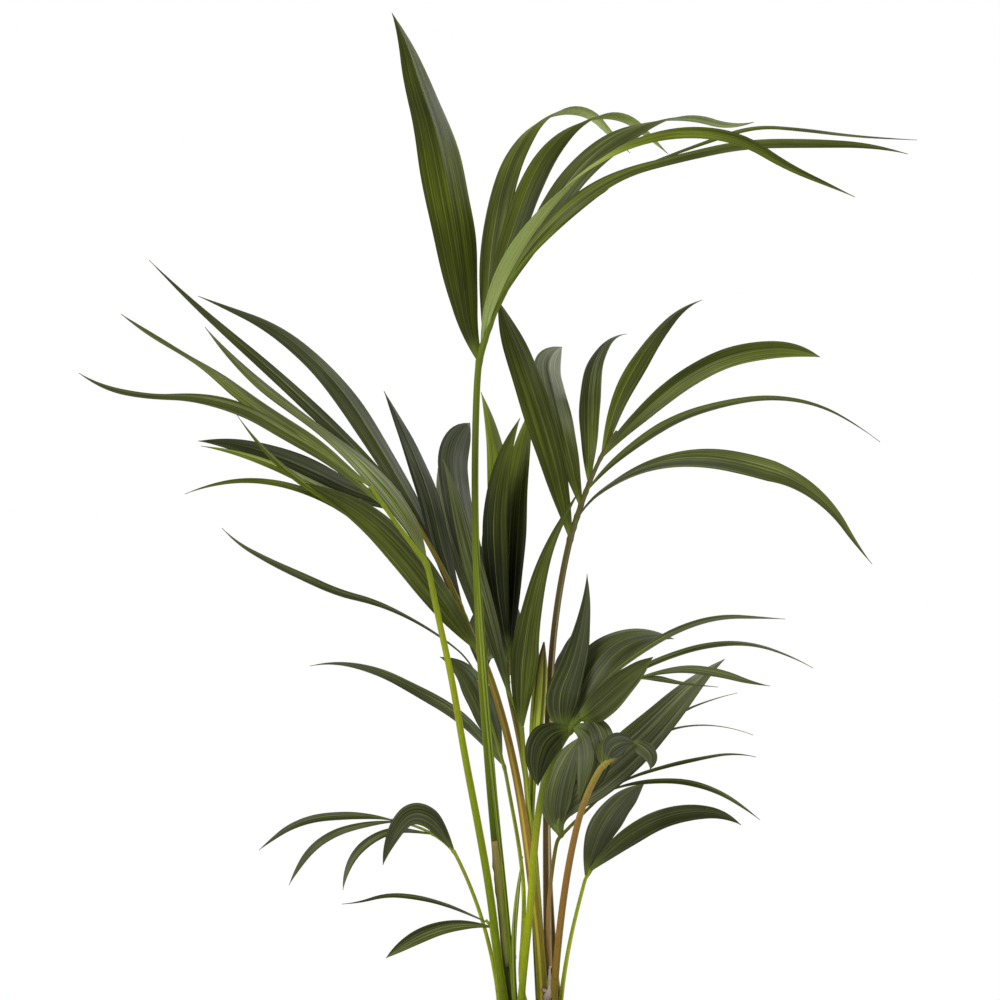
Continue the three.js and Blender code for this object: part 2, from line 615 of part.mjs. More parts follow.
// Leaves that have not opened, and a leaf base that has lost its blade: pointed limbs
const spears = {
  spear_right: {
    foot: [8, -4], tip: [14, 553], headings: [92, 92, 91, 87, 84, 84],
    depths: [-22, -28], radii: [2, 2, 2, 2.4, 2.8, 3.6, 6.2, 7, 0],
  },
  spear_left: {
    foot: [-15, 8], tip: [-55, 695], headings: [94, 96, 94, 92],
    depths: [18, 22], radii: [2.4, 2.2, 2.2, 2.4, 2.8, 3, 2.2, 0],
  },
  leaf_base: {
    foot: [-14, 21], tip: [-7, 339], headings: [93, 88, 82, 78],
    depths: [18, 12], radii: [2.6, 2.6, 2.6, 2.2, 0],
  },
};

function makeSpear(name, spear) {
  const foot = shownFoot(spear.foot);
  const depths = [spear.foot[1], ...spear.depths];
  const { points } = makePath(foot, spear.tip, spear.headings, depths);
  addSolid(name, toSolid(limb(points, spear.radii, PETIOLE_SIDES, 16, true)), material(PALE_GREEN, 0.5));
}

makePot();
makeSoil();
Object.entries(stems).forEach(([name, stem]) => makeStem(name, stem));
Object.entries(fronds).forEach(([name, frond]) => makeFrond(name, frond));
Object.entries(spears).forEach(([name, spear]) => makeSpear(name, spear));

export default palm;
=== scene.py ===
# %% [markdown]
# # A young kentia palm in a plain pot
#
# This lesson dresses a palm: three short stems in compost, petioles that rise from them, and
# fronds of long folded leaflets. The plain solids of the palm are loaded first, as a frame
# that says where everything is. Each solid is then replaced by a finer surface in the same
# place. Nothing is drawn by hand: every surface is a formula on a grid, worked out by numpy.

# %% Load the frame
import math

import bpy
import numpy as np
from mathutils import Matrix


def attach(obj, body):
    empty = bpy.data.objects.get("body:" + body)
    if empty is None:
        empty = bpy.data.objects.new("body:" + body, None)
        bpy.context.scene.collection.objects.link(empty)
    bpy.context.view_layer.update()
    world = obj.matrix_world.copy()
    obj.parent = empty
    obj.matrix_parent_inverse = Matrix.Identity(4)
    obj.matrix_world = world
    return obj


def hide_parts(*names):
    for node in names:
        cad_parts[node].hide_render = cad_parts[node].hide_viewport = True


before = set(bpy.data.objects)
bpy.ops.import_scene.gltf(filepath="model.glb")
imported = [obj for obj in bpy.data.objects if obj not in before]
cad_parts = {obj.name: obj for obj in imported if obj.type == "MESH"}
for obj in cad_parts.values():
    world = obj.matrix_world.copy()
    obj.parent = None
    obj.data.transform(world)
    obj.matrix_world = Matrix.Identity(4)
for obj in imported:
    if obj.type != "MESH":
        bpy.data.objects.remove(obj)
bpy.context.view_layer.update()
scene = bpy.context.scene
print("nodes in the frame:", len(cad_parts))

# %% [markdown]
# ## Node helpers
#
# The light and the materials are small graphs of nodes. Writing each node and link out in
# full is long, so a few helpers make a node from its inputs: a number or colour is set on the
# socket, and another node's output is linked to it. Colours are told as they show on a
# screen, 0 to 255.


# %% Helpers for nodes
def screen(red, green, blue):
    """A colour as it shows on a screen, 0 to 255, in the linear values that Blender uses: the
    share of 255 by the standard curve, which is close to its power 2.2."""
    share = np.array([red, green, blue]) / 255
    linear = np.where(share < 0.04045, share / 12.92, ((share + 0.055) / 1.055) ** 2.4)
    return (*[float(v) for v in linear], 1.0)


def node(tree, kind, *values, **settings):
    """A node of a kind, with its settings, and with its inputs set or linked in order."""
    made = tree.nodes.new("ShaderNode" + kind)
    for key, value in settings.items():
        setattr(made, key, value)
    for socket, value in zip(made.inputs, values):
        if isinstance(value, bpy.types.NodeSocket):
            tree.links.new(value, socket)
        elif value is not None:
            socket.default_value = value
    return made


def maths(tree, operation, *values):
    """The output of one Math node."""
    return node(tree, "Math", *values, operation=operation).outputs[0]


def fade(tree, value, low, high, to_low=0.0, to_high=1.0):
    """A value carried from the range low..high to another range, smoothly, and held there."""
    made = node(tree, "MapRange", value, low, high, to_low, to_high, interpolation_type="SMOOTHSTEP")
    return made.outputs[0]


def ramp(tree, factor, *stops):
    """Screen colours at rising places from 0 to 1, mixed evenly between them."""
    made = node(tree, "ValToRGB", factor)
    while len(made.color_ramp.elements) < len(stops):
        made.color_ramp.elements.new(1.0)
    for element, (place, colour) in zip(made.color_ramp.elements, stops):
        element.position = place
        element.color = screen(*colour)
    return made.outputs[0]


def blend(tree, factor, low, high):
    """Two colours mixed by a factor."""
    made = node(tree, "Mix", data_type="RGBA")
    for socket, value in zip([made.inputs[0], made.inputs[6], made.inputs[7]], [factor, low, high]):
        if isinstance(value, bpy.types.NodeSocket):
            tree.links.new(value, socket)
        else:
            socket.default_value = value
    return made.outputs[2]


def grain(tree, place, scale, detail, roughness, shift=None):
    """Smooth noise, about 0 to 1, at a place that is first multiplied by a scale for each
    axis and then shifted. A small scale along an axis draws the noise out along it."""
    place = node(tree, "VectorMath", place, scale, operation="MULTIPLY").outputs[0]
    if shift is not None:
        place = node(tree, "VectorMath", place, shift, operation="ADD").outputs[0]
    return node(tree, "TexNoise", place, None, 1.0, detail, roughness).outputs[0]


def nudged(tree, value, noise, amount):
    """A value moved by an amount times how far a noise is from its middle."""
    return maths(tree, "MULTIPLY_ADD", maths(tree, "SUBTRACT", noise, 0.5), amount, value)


def mixed(tree, first, second, share):
    """A share of the first value and the rest of the second."""
    rest = maths(tree, "MULTIPLY", second, 1 - share)
    return maths(tree, "MULTIPLY_ADD", first, share, rest)


def own_values(tree, name):
    """The three values that each point of a surface carries under a name."""
    return node(tree, "Attribute", attribute_name=name).outputs["Vector"]


def object_place(tree):
    """The place on the object, in metres."""
    return node(tree, "TexCoord").outputs["Object"]


def new_material(name):
    """An empty material with its shader, and the tree to fill."""
    material = bpy.data.materials.new(name)
    material.use_nodes = True
    tree = material.node_tree
    return material, tree, tree.nodes["Principled BSDF"]


def finish_shader(tree, shader, colour, roughness, gloss, relief=None, depth=0.0, strength=0.0):
    """Links colour and roughness to the shader and sets its gloss. Relief, if given, is linked
    too, as a bump of a depth in metres."""
    tree.links.new(colour, shader.inputs["Base Color"])
    tree.links.new(roughness, shader.inputs["Roughness"])
    shader.inputs["Specular IOR Level"].default_value = gloss
    if relief is not None:
        bump = node(tree, "Bump")
        bump.inputs["Strength"].default_value = strength
        bump.inputs["Distance"].default_value = depth
        tree.links.new(relief, bump.inputs["Height"])
        tree.links.new(bump.outputs[0], shader.inputs["Normal"])


print("middle grey on a screen is", round(screen(128, 128, 128)[0], 3), "of white light")


# %% [markdown]
# ## Camera and light
#
# The palm is looked at level, from 4 m in front, through a long lens, so that the frame is
# one metre wide where the stems stand and the pot lies just below it. The world is a light
# tent: a white wall all around, and a dimmer roof and floor, so that leaves that face up or
# down differ from those that face the wall. Two large soft lamps give the leaves a sheen.
# View transform Standard keeps white white.

# %% Camera and light
# Lengths are in millimetres where no comment says metres, and METRE turns them into metres
METRE = 0.001
VIEW_DISTANCE = 4000.0
VIEW_X = -30.0
VIEW_Z = 695.0
FRAME_WIDTH = 1000.0
SENSOR = 36.0
# How high a direction points where the wall starts to dim, and where it has become roof
DIMS_BETWEEN = (0.2, 0.5)
WALL_GLOW = 1.0
ROOF_GLOW = 0.3

eye = bpy.data.cameras.new("eye")
eye.sensor_width = SENSOR
eye.lens = SENSOR * VIEW_DISTANCE / FRAME_WIDTH
camera = bpy.data.objects.new("eye", eye)
camera.location = (VIEW_X * METRE, -VIEW_DISTANCE * METRE, VIEW_Z * METRE)
camera.rotation_euler = (math.pi / 2, 0, 0)
scene.collection.objects.link(camera)
scene.camera = camera
scene.view_settings.view_transform = "Standard"

world = bpy.data.worlds.new("light_tent")
world.use_nodes = True
tent = world.node_tree
height = node(tent, "SeparateXYZ", node(tent, "TexCoord").outputs["Generated"]).outputs["Z"]
glow = fade(tent, maths(tent, "ABSOLUTE", height), *DIMS_BETWEEN, WALL_GLOW, ROOF_GLOW)
tent.links.new(glow, tent.nodes["Background"].inputs["Strength"])
tent.nodes["Background"].inputs["Color"].default_value = (1, 1, 1, 1)
scene.world = world


def soft_lamp(name, place, aim, size, power):
    """A square lamp at a place in metres, turned so that its face looks at aim."""
    lamp = bpy.data.lights.new(name, "AREA")
    lamp.size = size
    lamp.energy = power
    holder = bpy.data.objects.new(name, lamp)
    holder.location = place
    toward = np.array(aim, float) - np.array(place, float)
    tilt = math.atan2(math.hypot(toward[0], toward[1]), -toward[2])
    turn = math.atan2(toward[1], toward[0]) - math.pi / 2
    holder.rotation_euler = (tilt, 0, turn)
    scene.collection.objects.link(holder)


soft_lamp("lamp_key", (-1.4, -1.8, 2.4), (0, 0, 0.7), size=1.2, power=60)
soft_lamp("lamp_back", (1.6, 1.2, 2.2), (0, 0, 0.8), size=1.2, power=40)
print("camera", tuple(round(v, 3) for v in camera.location), "lens", eye.lens)

# %% [markdown]
# ## Surfaces on a grid
#
# A leaf, a petiole and a pot have one thing in common: each is a closed outline that changes
# as it is carried along a line. Such a surface is a grid of points, one row for each outline.
# The helpers below join a grid's points into faces, close its two ends, and put any number of
# grids into one mesh. Each point also takes a few values of its own, such as how far along
# the leaf it lies, which the materials read later.


# %% From grids to a mesh
def join_grid(rows, columns):
    """Quads between neighbouring rows, the last column joined to the first, and a cap at
    each end. Faces point outwards where rows run clockwise, seen along the line."""
    i = np.arange(rows - 1)[:, None]
    j = np.arange(columns)[None, :]
    k = (j + 1) % columns
    low = i * columns
    high = low + columns
    quads = np.stack([low + j, low + k, high + k, high + j], -1).reshape(-1, 4)
    return quads, np.arange(columns)[::-1], np.arange(columns) + (rows - 1) * columns


print("a grid of 3 rows and 4 columns gives", len(join_grid(3, 4)[0]), "quads and two caps")


def surface(points, finish=None, **values):
    """A grid of points (rows, columns, 3) in millimetres, which of the piece's materials each
    column of faces takes, and values (rows, columns, 3) that the materials read."""
    rows, columns = points.shape[:2]
    quads, foot, end = join_grid(rows, columns)
    finish = np.zeros(columns, int) if finish is None else np.asarray(finish)
    return {
        "points": points.reshape(-1, 3) * METRE,
        "quads": quads,
        "caps": [foot, end],
        "finish": np.tile(finish, rows - 1),
        "values": {key: np.broadcast_to(value, points.shape).reshape(-1, 3) for key, value in values.items()},
    }


def outlines(points, one, other, by_one, by_other):
    """A grid of rows, one for each point of a line. Each row goes away from its point along
    two directions, by as much as the two arrays say."""
    return points[:, None] + one[:, None] * by_one[..., None] + other[:, None] * by_other[..., None]


def there_and_back(places):
    """Places across a flat outline, out on its upper face and back on its lower one, and the
    face that each is on, 1 or -1."""
    face = np.repeat([1, -1], [len(places), len(places) - 2])
    return np.concatenate([places, places[-2:0:-1]])[None, :], face[None, :]


def make_piece(name, surfaces, materials, nodes):
    """One object from many surfaces. It rides on the root body and replaces the named solids of
    the frame, which are hidden."""
    starts = np.cumsum([0] + [len(s["points"]) for s in surfaces[:-1]])
    points = np.concatenate([s["points"] for s in surfaces])
    corners = []
    sizes = []
    finish = []
    for start, s in zip(starts, surfaces):
        corners += [s["quads"].ravel() + start] + [cap + start for cap in s["caps"]]
        sizes += [np.full(len(s["quads"]), 4)] + [[len(cap)] for cap in s["caps"]]
        finish += [s["finish"], np.full(len(s["caps"]), s["finish"][0])]
    corners = np.concatenate(corners)
    sizes = np.concatenate(sizes)
    mesh = bpy.data.meshes.new(name)
    mesh.vertices.add(len(points))
    mesh.vertices.foreach_set("co", points.ravel())
    mesh.loops.add(len(corners))
    mesh.loops.foreach_set("vertex_index", corners.astype(np.int32))
    mesh.polygons.add(len(sizes))
    mesh.polygons.foreach_set("loop_start", np.cumsum(np.concatenate([[0], sizes[:-1]])).astype(np.int32))
    mesh.polygons.foreach_set("material_index", np.concatenate(finish).astype(np.int32))
    mesh.polygons.foreach_set("use_smooth", np.ones(len(sizes), bool))
    for key in surfaces[0]["values"]:
        layer = mesh.attributes.new(key, "FLOAT_VECTOR", "POINT")
        layer.data.foreach_set("vector", np.concatenate([s["values"][key] for s in surfaces]).ravel())
    mesh.update()
    mesh.validate()
    for material in materials:
        mesh.materials.append(material)
    piece = bpy.data.objects.new(name, mesh)
    scene.collection.objects.link(piece)
    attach(piece, "root")
    if nodes:
        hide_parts(*nodes)
    triangles = int((sizes - 2).sum())
    print(f"{name}: {len(surfaces)} surfaces, {triangles} triangles")
    return piece


# %% [markdown]
# ## Lines that limbs and leaves follow
#
# A petiole or a leaf is a bent line first. Its bend is told by headings, as a walker would
# tell a path: so many degrees at the start, so many a little farther on. The path is walked
# in sixty short steps and then turned and scaled as a whole, so that it ends at its tip. How
# far each place lies towards the viewer is a smooth curve through a few depths.


# %% Values along a line
STEPS = 60


def along_list(values, t):
    """Evenly spaced values joined by straight runs, read at t from 0 to 1."""
    return np.interp(t, np.linspace(0, 1, len(values)), values)


def along_spline(values, t):
    """The same with smooth runs, a Catmull-Rom spline. The ends are mirrored."""
    values = np.asarray(values, float)
    t = np.asarray(t, float)
    if len(values) < 3:
        return along_list(values, t)
    padded = np.concatenate([[2 * values[0] - values[1]], values, [2 * values[-1] - values[-2]]])
    place = np.clip(t, 0, 1) * (len(values) - 1)
    i = np.minimum(place.astype(int), len(values) - 2)
    u = place - i
    a, b, c, d = padded[i], padded[i + 1], padded[i + 2], padded[i + 3]
    cubic = -a + 3 * b - 3 * c + d
    square = 2 * a - 5 * b + 4 * c - d
    return 0.5 * (2 * b + (c - a) * u + square * u**2 + cubic * u**3)


def walk(foot, tip, headings, depths):
    """A path in the front view. Unit steps along the headings are summed, and the sum is
    turned and scaled by one complex number, so that it runs from foot to tip."""
    turns = np.radians(along_list(headings, (np.arange(STEPS) + 0.5) / STEPS))
    shape = np.concatenate([[0], np.cumsum(np.exp(1j * turns))])
    drawn = complex(*foot) + shape * (complex(*tip) - complex(*foot)) / shape[-1]
    depth = along_spline(depths, np.linspace(0, 1, STEPS + 1))
    return np.stack([drawn.real, drawn.imag, depth], 1)


def in_space(front):
    """Places that show at x, z in the front view, moved along their lines of sight to their
    depth: nearer ones are drawn towards the middle of the view."""
    scale = (VIEW_DISTANCE - front[:, 2]) / VIEW_DISTANCE
    x = VIEW_X + (front[:, 0] - VIEW_X) * scale
    z = VIEW_Z + (front[:, 1] - VIEW_Z) * scale
    return np.stack([x, -front[:, 2], z], 1)


def unit(vectors):
    """Each vector divided by its length."""
    return vectors / np.linalg.norm(vectors, axis=-1, keepdims=True)


def directions(points):
    """The direction at each point: from the one before to the one after."""
    first, last = points[1:2] - points[:1], points[-1:] - points[-2:-1]
    return unit(np.concatenate([first, points[2:] - points[:-2], last]))


def facing(points):
    """A normal at each point that starts towards the viewer and is carried on without
    twisting: at each step the part that lies along the line is taken away."""
    normal = np.array([0.0, -1.0, 0.0])
    normals = []
    for along in directions(points):
        normal = normal - along * (normal @ along)
        normal = normal / np.linalg.norm(normal)
        normals.append(normal)
    return np.array(normals)


print("a path from 0 to 100 ends at height", walk((0, 0), (0, 100), [80, 110], [0, 20])[-1, 1].round(3))


# %% [markdown]
# ## How every frond bends
#
# Leaves could be copies of one leaf, turned here and there, but every frond bends in its own
# way. So a table gives each frond's petiole, the rib that goes on from it, and its leaflets,
# in millimetres and degrees. A foot tells how far right and how far forward it stands on its
# stem. Tips and headings are told as they show from the front, and depths are how far forward
# the rest of the path lies. A leaflet tells its seat, which is the share of the rib where it
# grows, then its tip, headings, depths, width and roll. Peak is where it is widest, and point
# is how blunt it ends. Tone is how light its green is at places from root to tip: partly the
# leaf's own green, partly painted shade where a leaf lies deep in the crown and painted light
# where it stands in full light. Halves adds to the tone left and right of the midrib, as painted
# light and shade on the two sides of the fold. Grey is how much of a painted sheen, the
# reflection of a bright surround, lies over it.


# %% Helpers for the table
FRONDS = {}


def frond(name, foot, tip, headings, depths, radii, rib):
    """Starts a frond: its petiole's numbers and its rib's tip, headings, depths and radius."""
    FRONDS[name] = dict(foot=foot, tip=tip, headings=headings, depths=depths, radii=radii, leaflets=[],
                        rib=dict(zip(("tip", "headings", "depths", "radius"), rib)))


def leaflet(seat, tip, headings, depths, width, roll=(0,), peak=0.5, point=1.9, tone=(0.4,), halves=(0, 0),
            grey=(0.5,)):
    """Adds a leaflet to the frond that was started last."""
    last = list(FRONDS.values())[-1]
    last["leaflets"].append(dict(seat=seat, tip=tip, headings=headings, depths=depths, width=width, roll=roll,
                                 peak=peak, point=point, tone=tone, halves=halves, grey=grey))


# The roll of a leaflet that arches over until its underside shows, and of one that starts
# with its underside and twists back
TURN_OVER = [0, 0, 0, 25, 95, 150]
TURN_BACK = [145, 138, 115, 82, 60, 50, 40]

# %% [markdown]
# ## The tall fronds
#
# Four fronds stand above the others. Their leaflets are the longest: some stand up, some arch
# over until the paler underside shows, and one starts with its underside and twists back.

# %% Tall fronds
frond("top", (-17, -2), (-52, 833), [96, 95.5, 94, 91, 87], [6, 10], [5.8, 4.6, 3.8, 3.4],
      rib=((78, 1007), [74, 70, 58, 44, 40, 36], [12, 20], 1.1))
leaflet(0.02, (-138, 1182), [113, 99, 99, 101, 102, 109, 107, 117], [0, -60], 44, [0, 10], 0.45, 2,
        tone=[.42, .42, .46, .5, .5, .36, .46, .44], halves=(-.02, .04), grey=[0, .05])
leaflet(0.1, (100, 1042), [84, 84, 82, 78, 70, 53, 15, -49, -45], [-60, -140], 26, TURN_OVER, 0.35,
        tone=[.58, .56, .5, .5, .85, .9], halves=(.08, -.06), grey=[.1, .2, .2, .2, .3, .3])
leaflet(0.17, (138, 1041), [79, 76, 71, 70, 61, 42, 15, -42, -45], [-35, -95], 26, TURN_OVER, 0.4,
        tone=[.46, .42, .44, .46, .8, .85], halves=(0, -.06), grey=[0, .1, .3])
leaflet(0.29, (224, 1073), [68, 60, 59, 57, 42, 28, 12, -16, 18], [-10, -50], 27, TURN_OVER, 0.45,
        tone=[.46, .42, .46, .48, .7, .75], halves=(.05, 0), grey=[.1, .4, .5])
leaflet(0.06, (325, 998), [86, 71, 58, 49, 40, 26, 9, -10, -33, -24, -25], [70, 130], 23, TURN_BACK, 0.25,
        2, tone=[.9, .95, .9, .6, .5, .48], halves=(-.03, .08), grey=[.2, .1, .1])
leaflet(0.33, (378, 1041), [67, 48, 35, 15, 12, 1, -2, -15], [20, 30], 16, [0, 0, 50, 50, 22, 0], 0.3, 2.8,
        tone=[.55, .55, .5], halves=(.05, -.04), grey=[.2, .3])
leaflet(0.98, (387, 1055), [41, 22, 20, 18, -4, -8, -4, -3], [-20, -70], 6, [20, 30], 0.62, tone=[.5],
        grey=[.2])
frond("left", (-24, 7), (-102, 630), [100, 96, 100, 101, 99, 103, 100], [30, 60], [4.2, 3.9, 3.4, 2.9],
      rib=((-160, 709), [131, 127], [68, 78], 1.6))
leaflet(0.75, (-451, 822), [139, 140, 151, 150, 167, 181, 169, 146], [95, 120], 14, [0, 10, 25, 60, 15],
        0.4, 2.6, tone=[.6, .48, .38], halves=(0, .1), grey=[.3, .4])
leaflet(1, (-409, 881), [144, 141, 148, 146, 141, 148, 149, 143], [85, 95], 14, [0, 0, 20, 65, 10], 0.35,
        2.6, tone=[.68, .6, .5], halves=(.05, -.05), grey=[.4, .3])
leaflet(0.03, (-325, 868), [106, 122, 133, 140, 144, 142, 135, 128], [50, 20], 20, [0, 10, 60, 35, 10],
        0.25, 2.2, tone=[.68, .6, .55], halves=(.04, -.04), grey=[.5, .4])
frond("left_back", (13, 8), (-43, 527), [92, 97, 98, 103, 110], [0, -45], [5, 4.6, 4, 3.6],
      rib=((-132, 703), [114, 110, 118, 120], [-65, -85], 1.6))
leaflet(0.1, (-225, 712), [129, 126, 127, 135, 148, 157], [5, 25], 31, [0], 0.4, 2.3, tone=[.55, .56, .52],
        halves=(.02, 0), grey=[.2, .3])
leaflet(0.28, (-146, 804), [112, 107, 102, 110, 114, 115], [-95, -120], 21, [0, 15], 0.45,
        tone=[.28, .34, .3], grey=[.7])
leaflet(0.33, (-332, 899), [112, 114, 120, 121, 123, 131, 142, 157, 158], [-130, -190], 23, [0, 15], 0.55,
        1.8, tone=[.36, .4, .35], halves=(0, .03))
leaflet(0.85, (-332, 754), [148, 163, 153, 158, 166, 179], [-50, -20], 24, [0, 10], 0.5, 1.7,
        tone=[.34, .3])
leaflet(0.93, (-329, 749), [175, 176, 154, 155, 164, 172], [-35, -5], 10, [0, 10], tone=[.75, .75],
        grey=[.2])
leaflet(1, (-381, 935), [133, 138, 137, 140, 138, 135], [-105, -130], 14, [0, 10], 0.35, 1.5,
        tone=[.33, .38], grey=[.4])
leaflet(0.38, (-293, 780), [133, 136, 145, 141, 146, 146, 139, 129, 123], [-25, 10], 8, [0, 10], 0.4, 2.5,
        tone=[.73, .68], grey=[0])
leaflet(0.35, (-345, 701), [131, 135, 143, 144, 150, 161, 174, 190, 202], [-30, 30], 7, [10, 20], 0.4, 2.5,
        tone=[.63, .58], grey=[.2])
frond("right", (19.5, -13), (40, 656), [92, 91, 90, 86, 77], [-38, -60], [4.4, 3.9, 3.5, 3.2],
      rib=((87, 764), [74, 71, 66, 55], [-68, -74], 1.5))
leaflet(0.02, (-32, 895), [103, 104, 107, 109, 112, 108], [-45, -30], 30, [0], 0.48, 3.2, tone=[.47, .47],
        grey=[.05, .15])
leaflet(0.3, (32, 848), [101, 100, 101, 101, 99, 20], [-75, -190], 27, [0], 0.6, 5, tone=[.52, .52, .66],
        halves=(-.02, .03), grey=[.1, .3, .8])
leaflet(0.5, (97, 861), [93, 88, 90, 88, 79, 55, 5], [-110, -160], 22, [0, 10], 0.5, 2.3,
        tone=[.52, .5, .66], halves=(-.04, .04), grey=[.1, .3, .8])
leaflet(0.77, (172, 895), [75, 72, 62, 56, 48, 19], [-100, -140], 20, [0, 15], 0.5, 1.5,
        tone=[.52, .52, .6], halves=(.05, -.05), grey=[0, .2, .7])
leaflet(0.73, (290, 838), [51, 43, 38, 22, 4, -20], [-65, -50], 20, [0, 10], 0.45, 5, tone=[.5, .5, .62],
        halves=(-.1, .1), grey=[.2, .2])
leaflet(0.42, (350, 753), [52, 39, 31, 16, 7, -10, -30, -39], [-15, 50], 9, [0, 10], 0.3, 0.9,
        tone=[.5, .48], halves=(.06, -.06), grey=[.3])
leaflet(0.1, (342, 631), [69, 37, 23, 5, -10, -17, -38, -57, -50], [0, 90], 18, [75, 65, 30, 0, 0, 0], 0.62,
        0.85, tone=[.42, .5, .52], halves=(.1, -.05), grey=[.6, .3, .1])
leaflet(0.2, (260, 724), [51, 39, 26, 12, -3, -14, -28], [-30, -40], 4, [30], grey=[.1])
print("fronds so far:", len(FRONDS))

# %% [markdown]
# ## The middle fronds
#
# The heart of the crown is one short frond with another behind it, an arched one in front and
# two at its right. Their leaflets are broad, and those of the arched one hang.

# %% Middle fronds
frond("centre", (14.5, -1), (-8, 465), [95, 93, 93, 98, 95, 94], [-9, -12], [3.1, 2.9, 2.6, 2.4],
      rib=((-23, 505), [100, 120], [-14, -16], 1.4))
leaflet(0.05, (51, 707), [92, 86, 83, 78, 72, 62, 58], [0, 15], 28, [0], 0.3, 0.9, tone=[.42, .48, .48],
        halves=(-.08, .04), grey=[.2])
leaflet(0.9, (-87, 736), [104, 105, 105, 103, 108], [-26, -45], 20, tone=[.5, .5, .58], halves=(.03, -.03),
        grey=[.4, .5])
frond("back", (11, -11.5), (-22, 505), [92, 97, 98, 103, 108], [-50, -110], [3.8, 3.4, 3, 2.6],
      rib=((-20, 556), [95, 85], [-130], 1.4))
leaflet(0.6, (4, 793), [89, 88, 87, 80, 72], [-145, -155], 30, tone=[0, .05, .45, .72], halves=(.05, -.05),
        grey=[0])
leaflet(0.7, (-10, 777), [97, 93, 88, 75, 60], [-125, -110], 26, tone=[0, .12, .4, .6], halves=(-.1, .04),
        grey=[.1])
leaflet(0.5, (-60, 772), [102, 105, 104, 99, 90, 40], [-140, -230], 28, [0], 0.7, 6, tone=[.3, .28, .42],
        grey=[.6, .8])
leaflet(0.15, (-92, 727), [114, 110, 106, 100], [-150, -210], 18, [0], 0.7, 2.6, tone=[.55, .65, .7],
        grey=[.5, .7])
leaflet(0.9, (-49, 803), [92, 90, 88, 95, 105], [-190, -210], 28, [0], 0.45, tone=[.5, .6, .78],
        halves=(.05, -.05), grey=[0, .2])
frond("front", (-10, 28), (34, 456), [84, 82, 85, 80, 56], [50, 90], [3.4, 3.5, 3.5, 3.2],
      rib=((108, 517), [62, 42, 28], [95, 105], 1.4))
leaflet(0.08, (57, 621), [125, 84, 66, 73, 78, 82, 90], [85, 70], 33, [0], 0.24, 1.15, tone=[.27, .27, .32],
        halves=(.02, .04), grey=[.35, .45])
leaflet(0.1, (144, 556), [80, 74, 55, 20, -12], [80, 50], 38, [0], 0.45, tone=[.5, .44, .42],
        halves=(.05, -.04), grey=[.4, .6])
leaflet(0.1, (255, 576), [63, 51, 37, 30, 16, -3, -4], [120, 150], 6, [10, 30], tone=[.5], grey=[.45])
leaflet(0.2, (283, 527), [57, 39, 26, 18, 3, -18, -29], [95, 65], 6, [10, 30], tone=[.5], grey=[.45])
leaflet(0.25, (123, 538), [34, 44, 46, 46], [135, 160], 30, [0, 20], 0.32, 2.4, tone=[.42, .44],
        halves=(-.04, .04), grey=[.35])
leaflet(1, (240, 509), [17, 8, -9, -18, -9], [125, 170], 8, [10, 30], 0.55, 1.4, tone=[.5], grey=[.45])
leaflet(0.98, (188, 508), [10, -12, -5, -4], [110, 120], 6, [20, 40], 0.3, 0.9, tone=[.5], grey=[.45])
leaflet(0.12, (8, 409), [168, 200, 238, 256, 264], [118, 130], 26, [0, 20], 0.35, tone=[.34, .3, .3],
        grey=[.4, .3])
leaflet(0.14, (49, 394), [25, -40, -78, -90, -98], [115, 122], 29, [0, 20], 0.4, tone=[.44, .44, .4],
        halves=(-.1, .08), grey=[.6, .4])
leaflet(0.3, (71, 428), [-10, -50, -85, -92], [118, 120], 18, [0, 20], tone=[.44, .44], halves=(.08, -.08))
frond("front_right", (23, 6), (70, 426), [89, 87, 84, 79, 62], [60, 150], [3.6, 3.5, 3.3, 3],
      rib=((102, 453), [48, 40], [165, 175], 1.6))
leaflet(1, (120, 426), [-5, -30, -100], [185, 192], 14, [0, 30], 0.4, tone=[.46], grey=[.55])
leaflet(0.25, (104, 452), [74, 45, 0, -32], [178, 185], 18, [0, 20], grey=[.7])
leaflet(0.12, (74, 457), [95, 80], [148, 145], 12, tone=[.5], grey=[.3])
frond("middle_right", (21, -4), (27, 355), [90, 89, 82, 76], [-2, 0], [2.4, 2.2, 2, 1.9],
      rib=((76, 403), [44, 40], [2, 5], 1.3))
leaflet(0.08, (195, 536), [118, 56, 41, 42, 44, 47, 49, 48, 45, 37], [25, 40], 35, [0], 0.35,
        tone=[.52, .55, .64], halves=(.1, -.04), grey=[.5, .65])
leaflet(0.1, (50, 458), [125, 90, 72, 62], [8, 5], 32, [0], 0.45, tone=[.42, .53], halves=(.1, -.04))
leaflet(0.95, (207, 502), [48, 50, 45, 21, 12], [-25, -50], 4, [20, 40], 0.4, tone=[.57])
leaflet(0.95, (223, 460), [59, 53, 32, 9, -8, -22], [-30, -70], 4, [20, 40], 0.4, tone=[.57])
leaflet(1, (226, 438), [37, 19, 14, 10, -13], [0, 20], 4.5, [20, 40], tone=[.52], grey=[.3])
leaflet(1, (230, 375), [24, 9, -1, -17, -32, -39], [10, 50], 6, [20, 40], tone=[.52], grey=[.3])
print("fronds so far:", len(FRONDS))

# %% [markdown]
# ## The low fronds
#
# Fronds on the thinnest petioles stay low. Three come out near the stems, and the fourth
# reaches far to the left behind the crown.

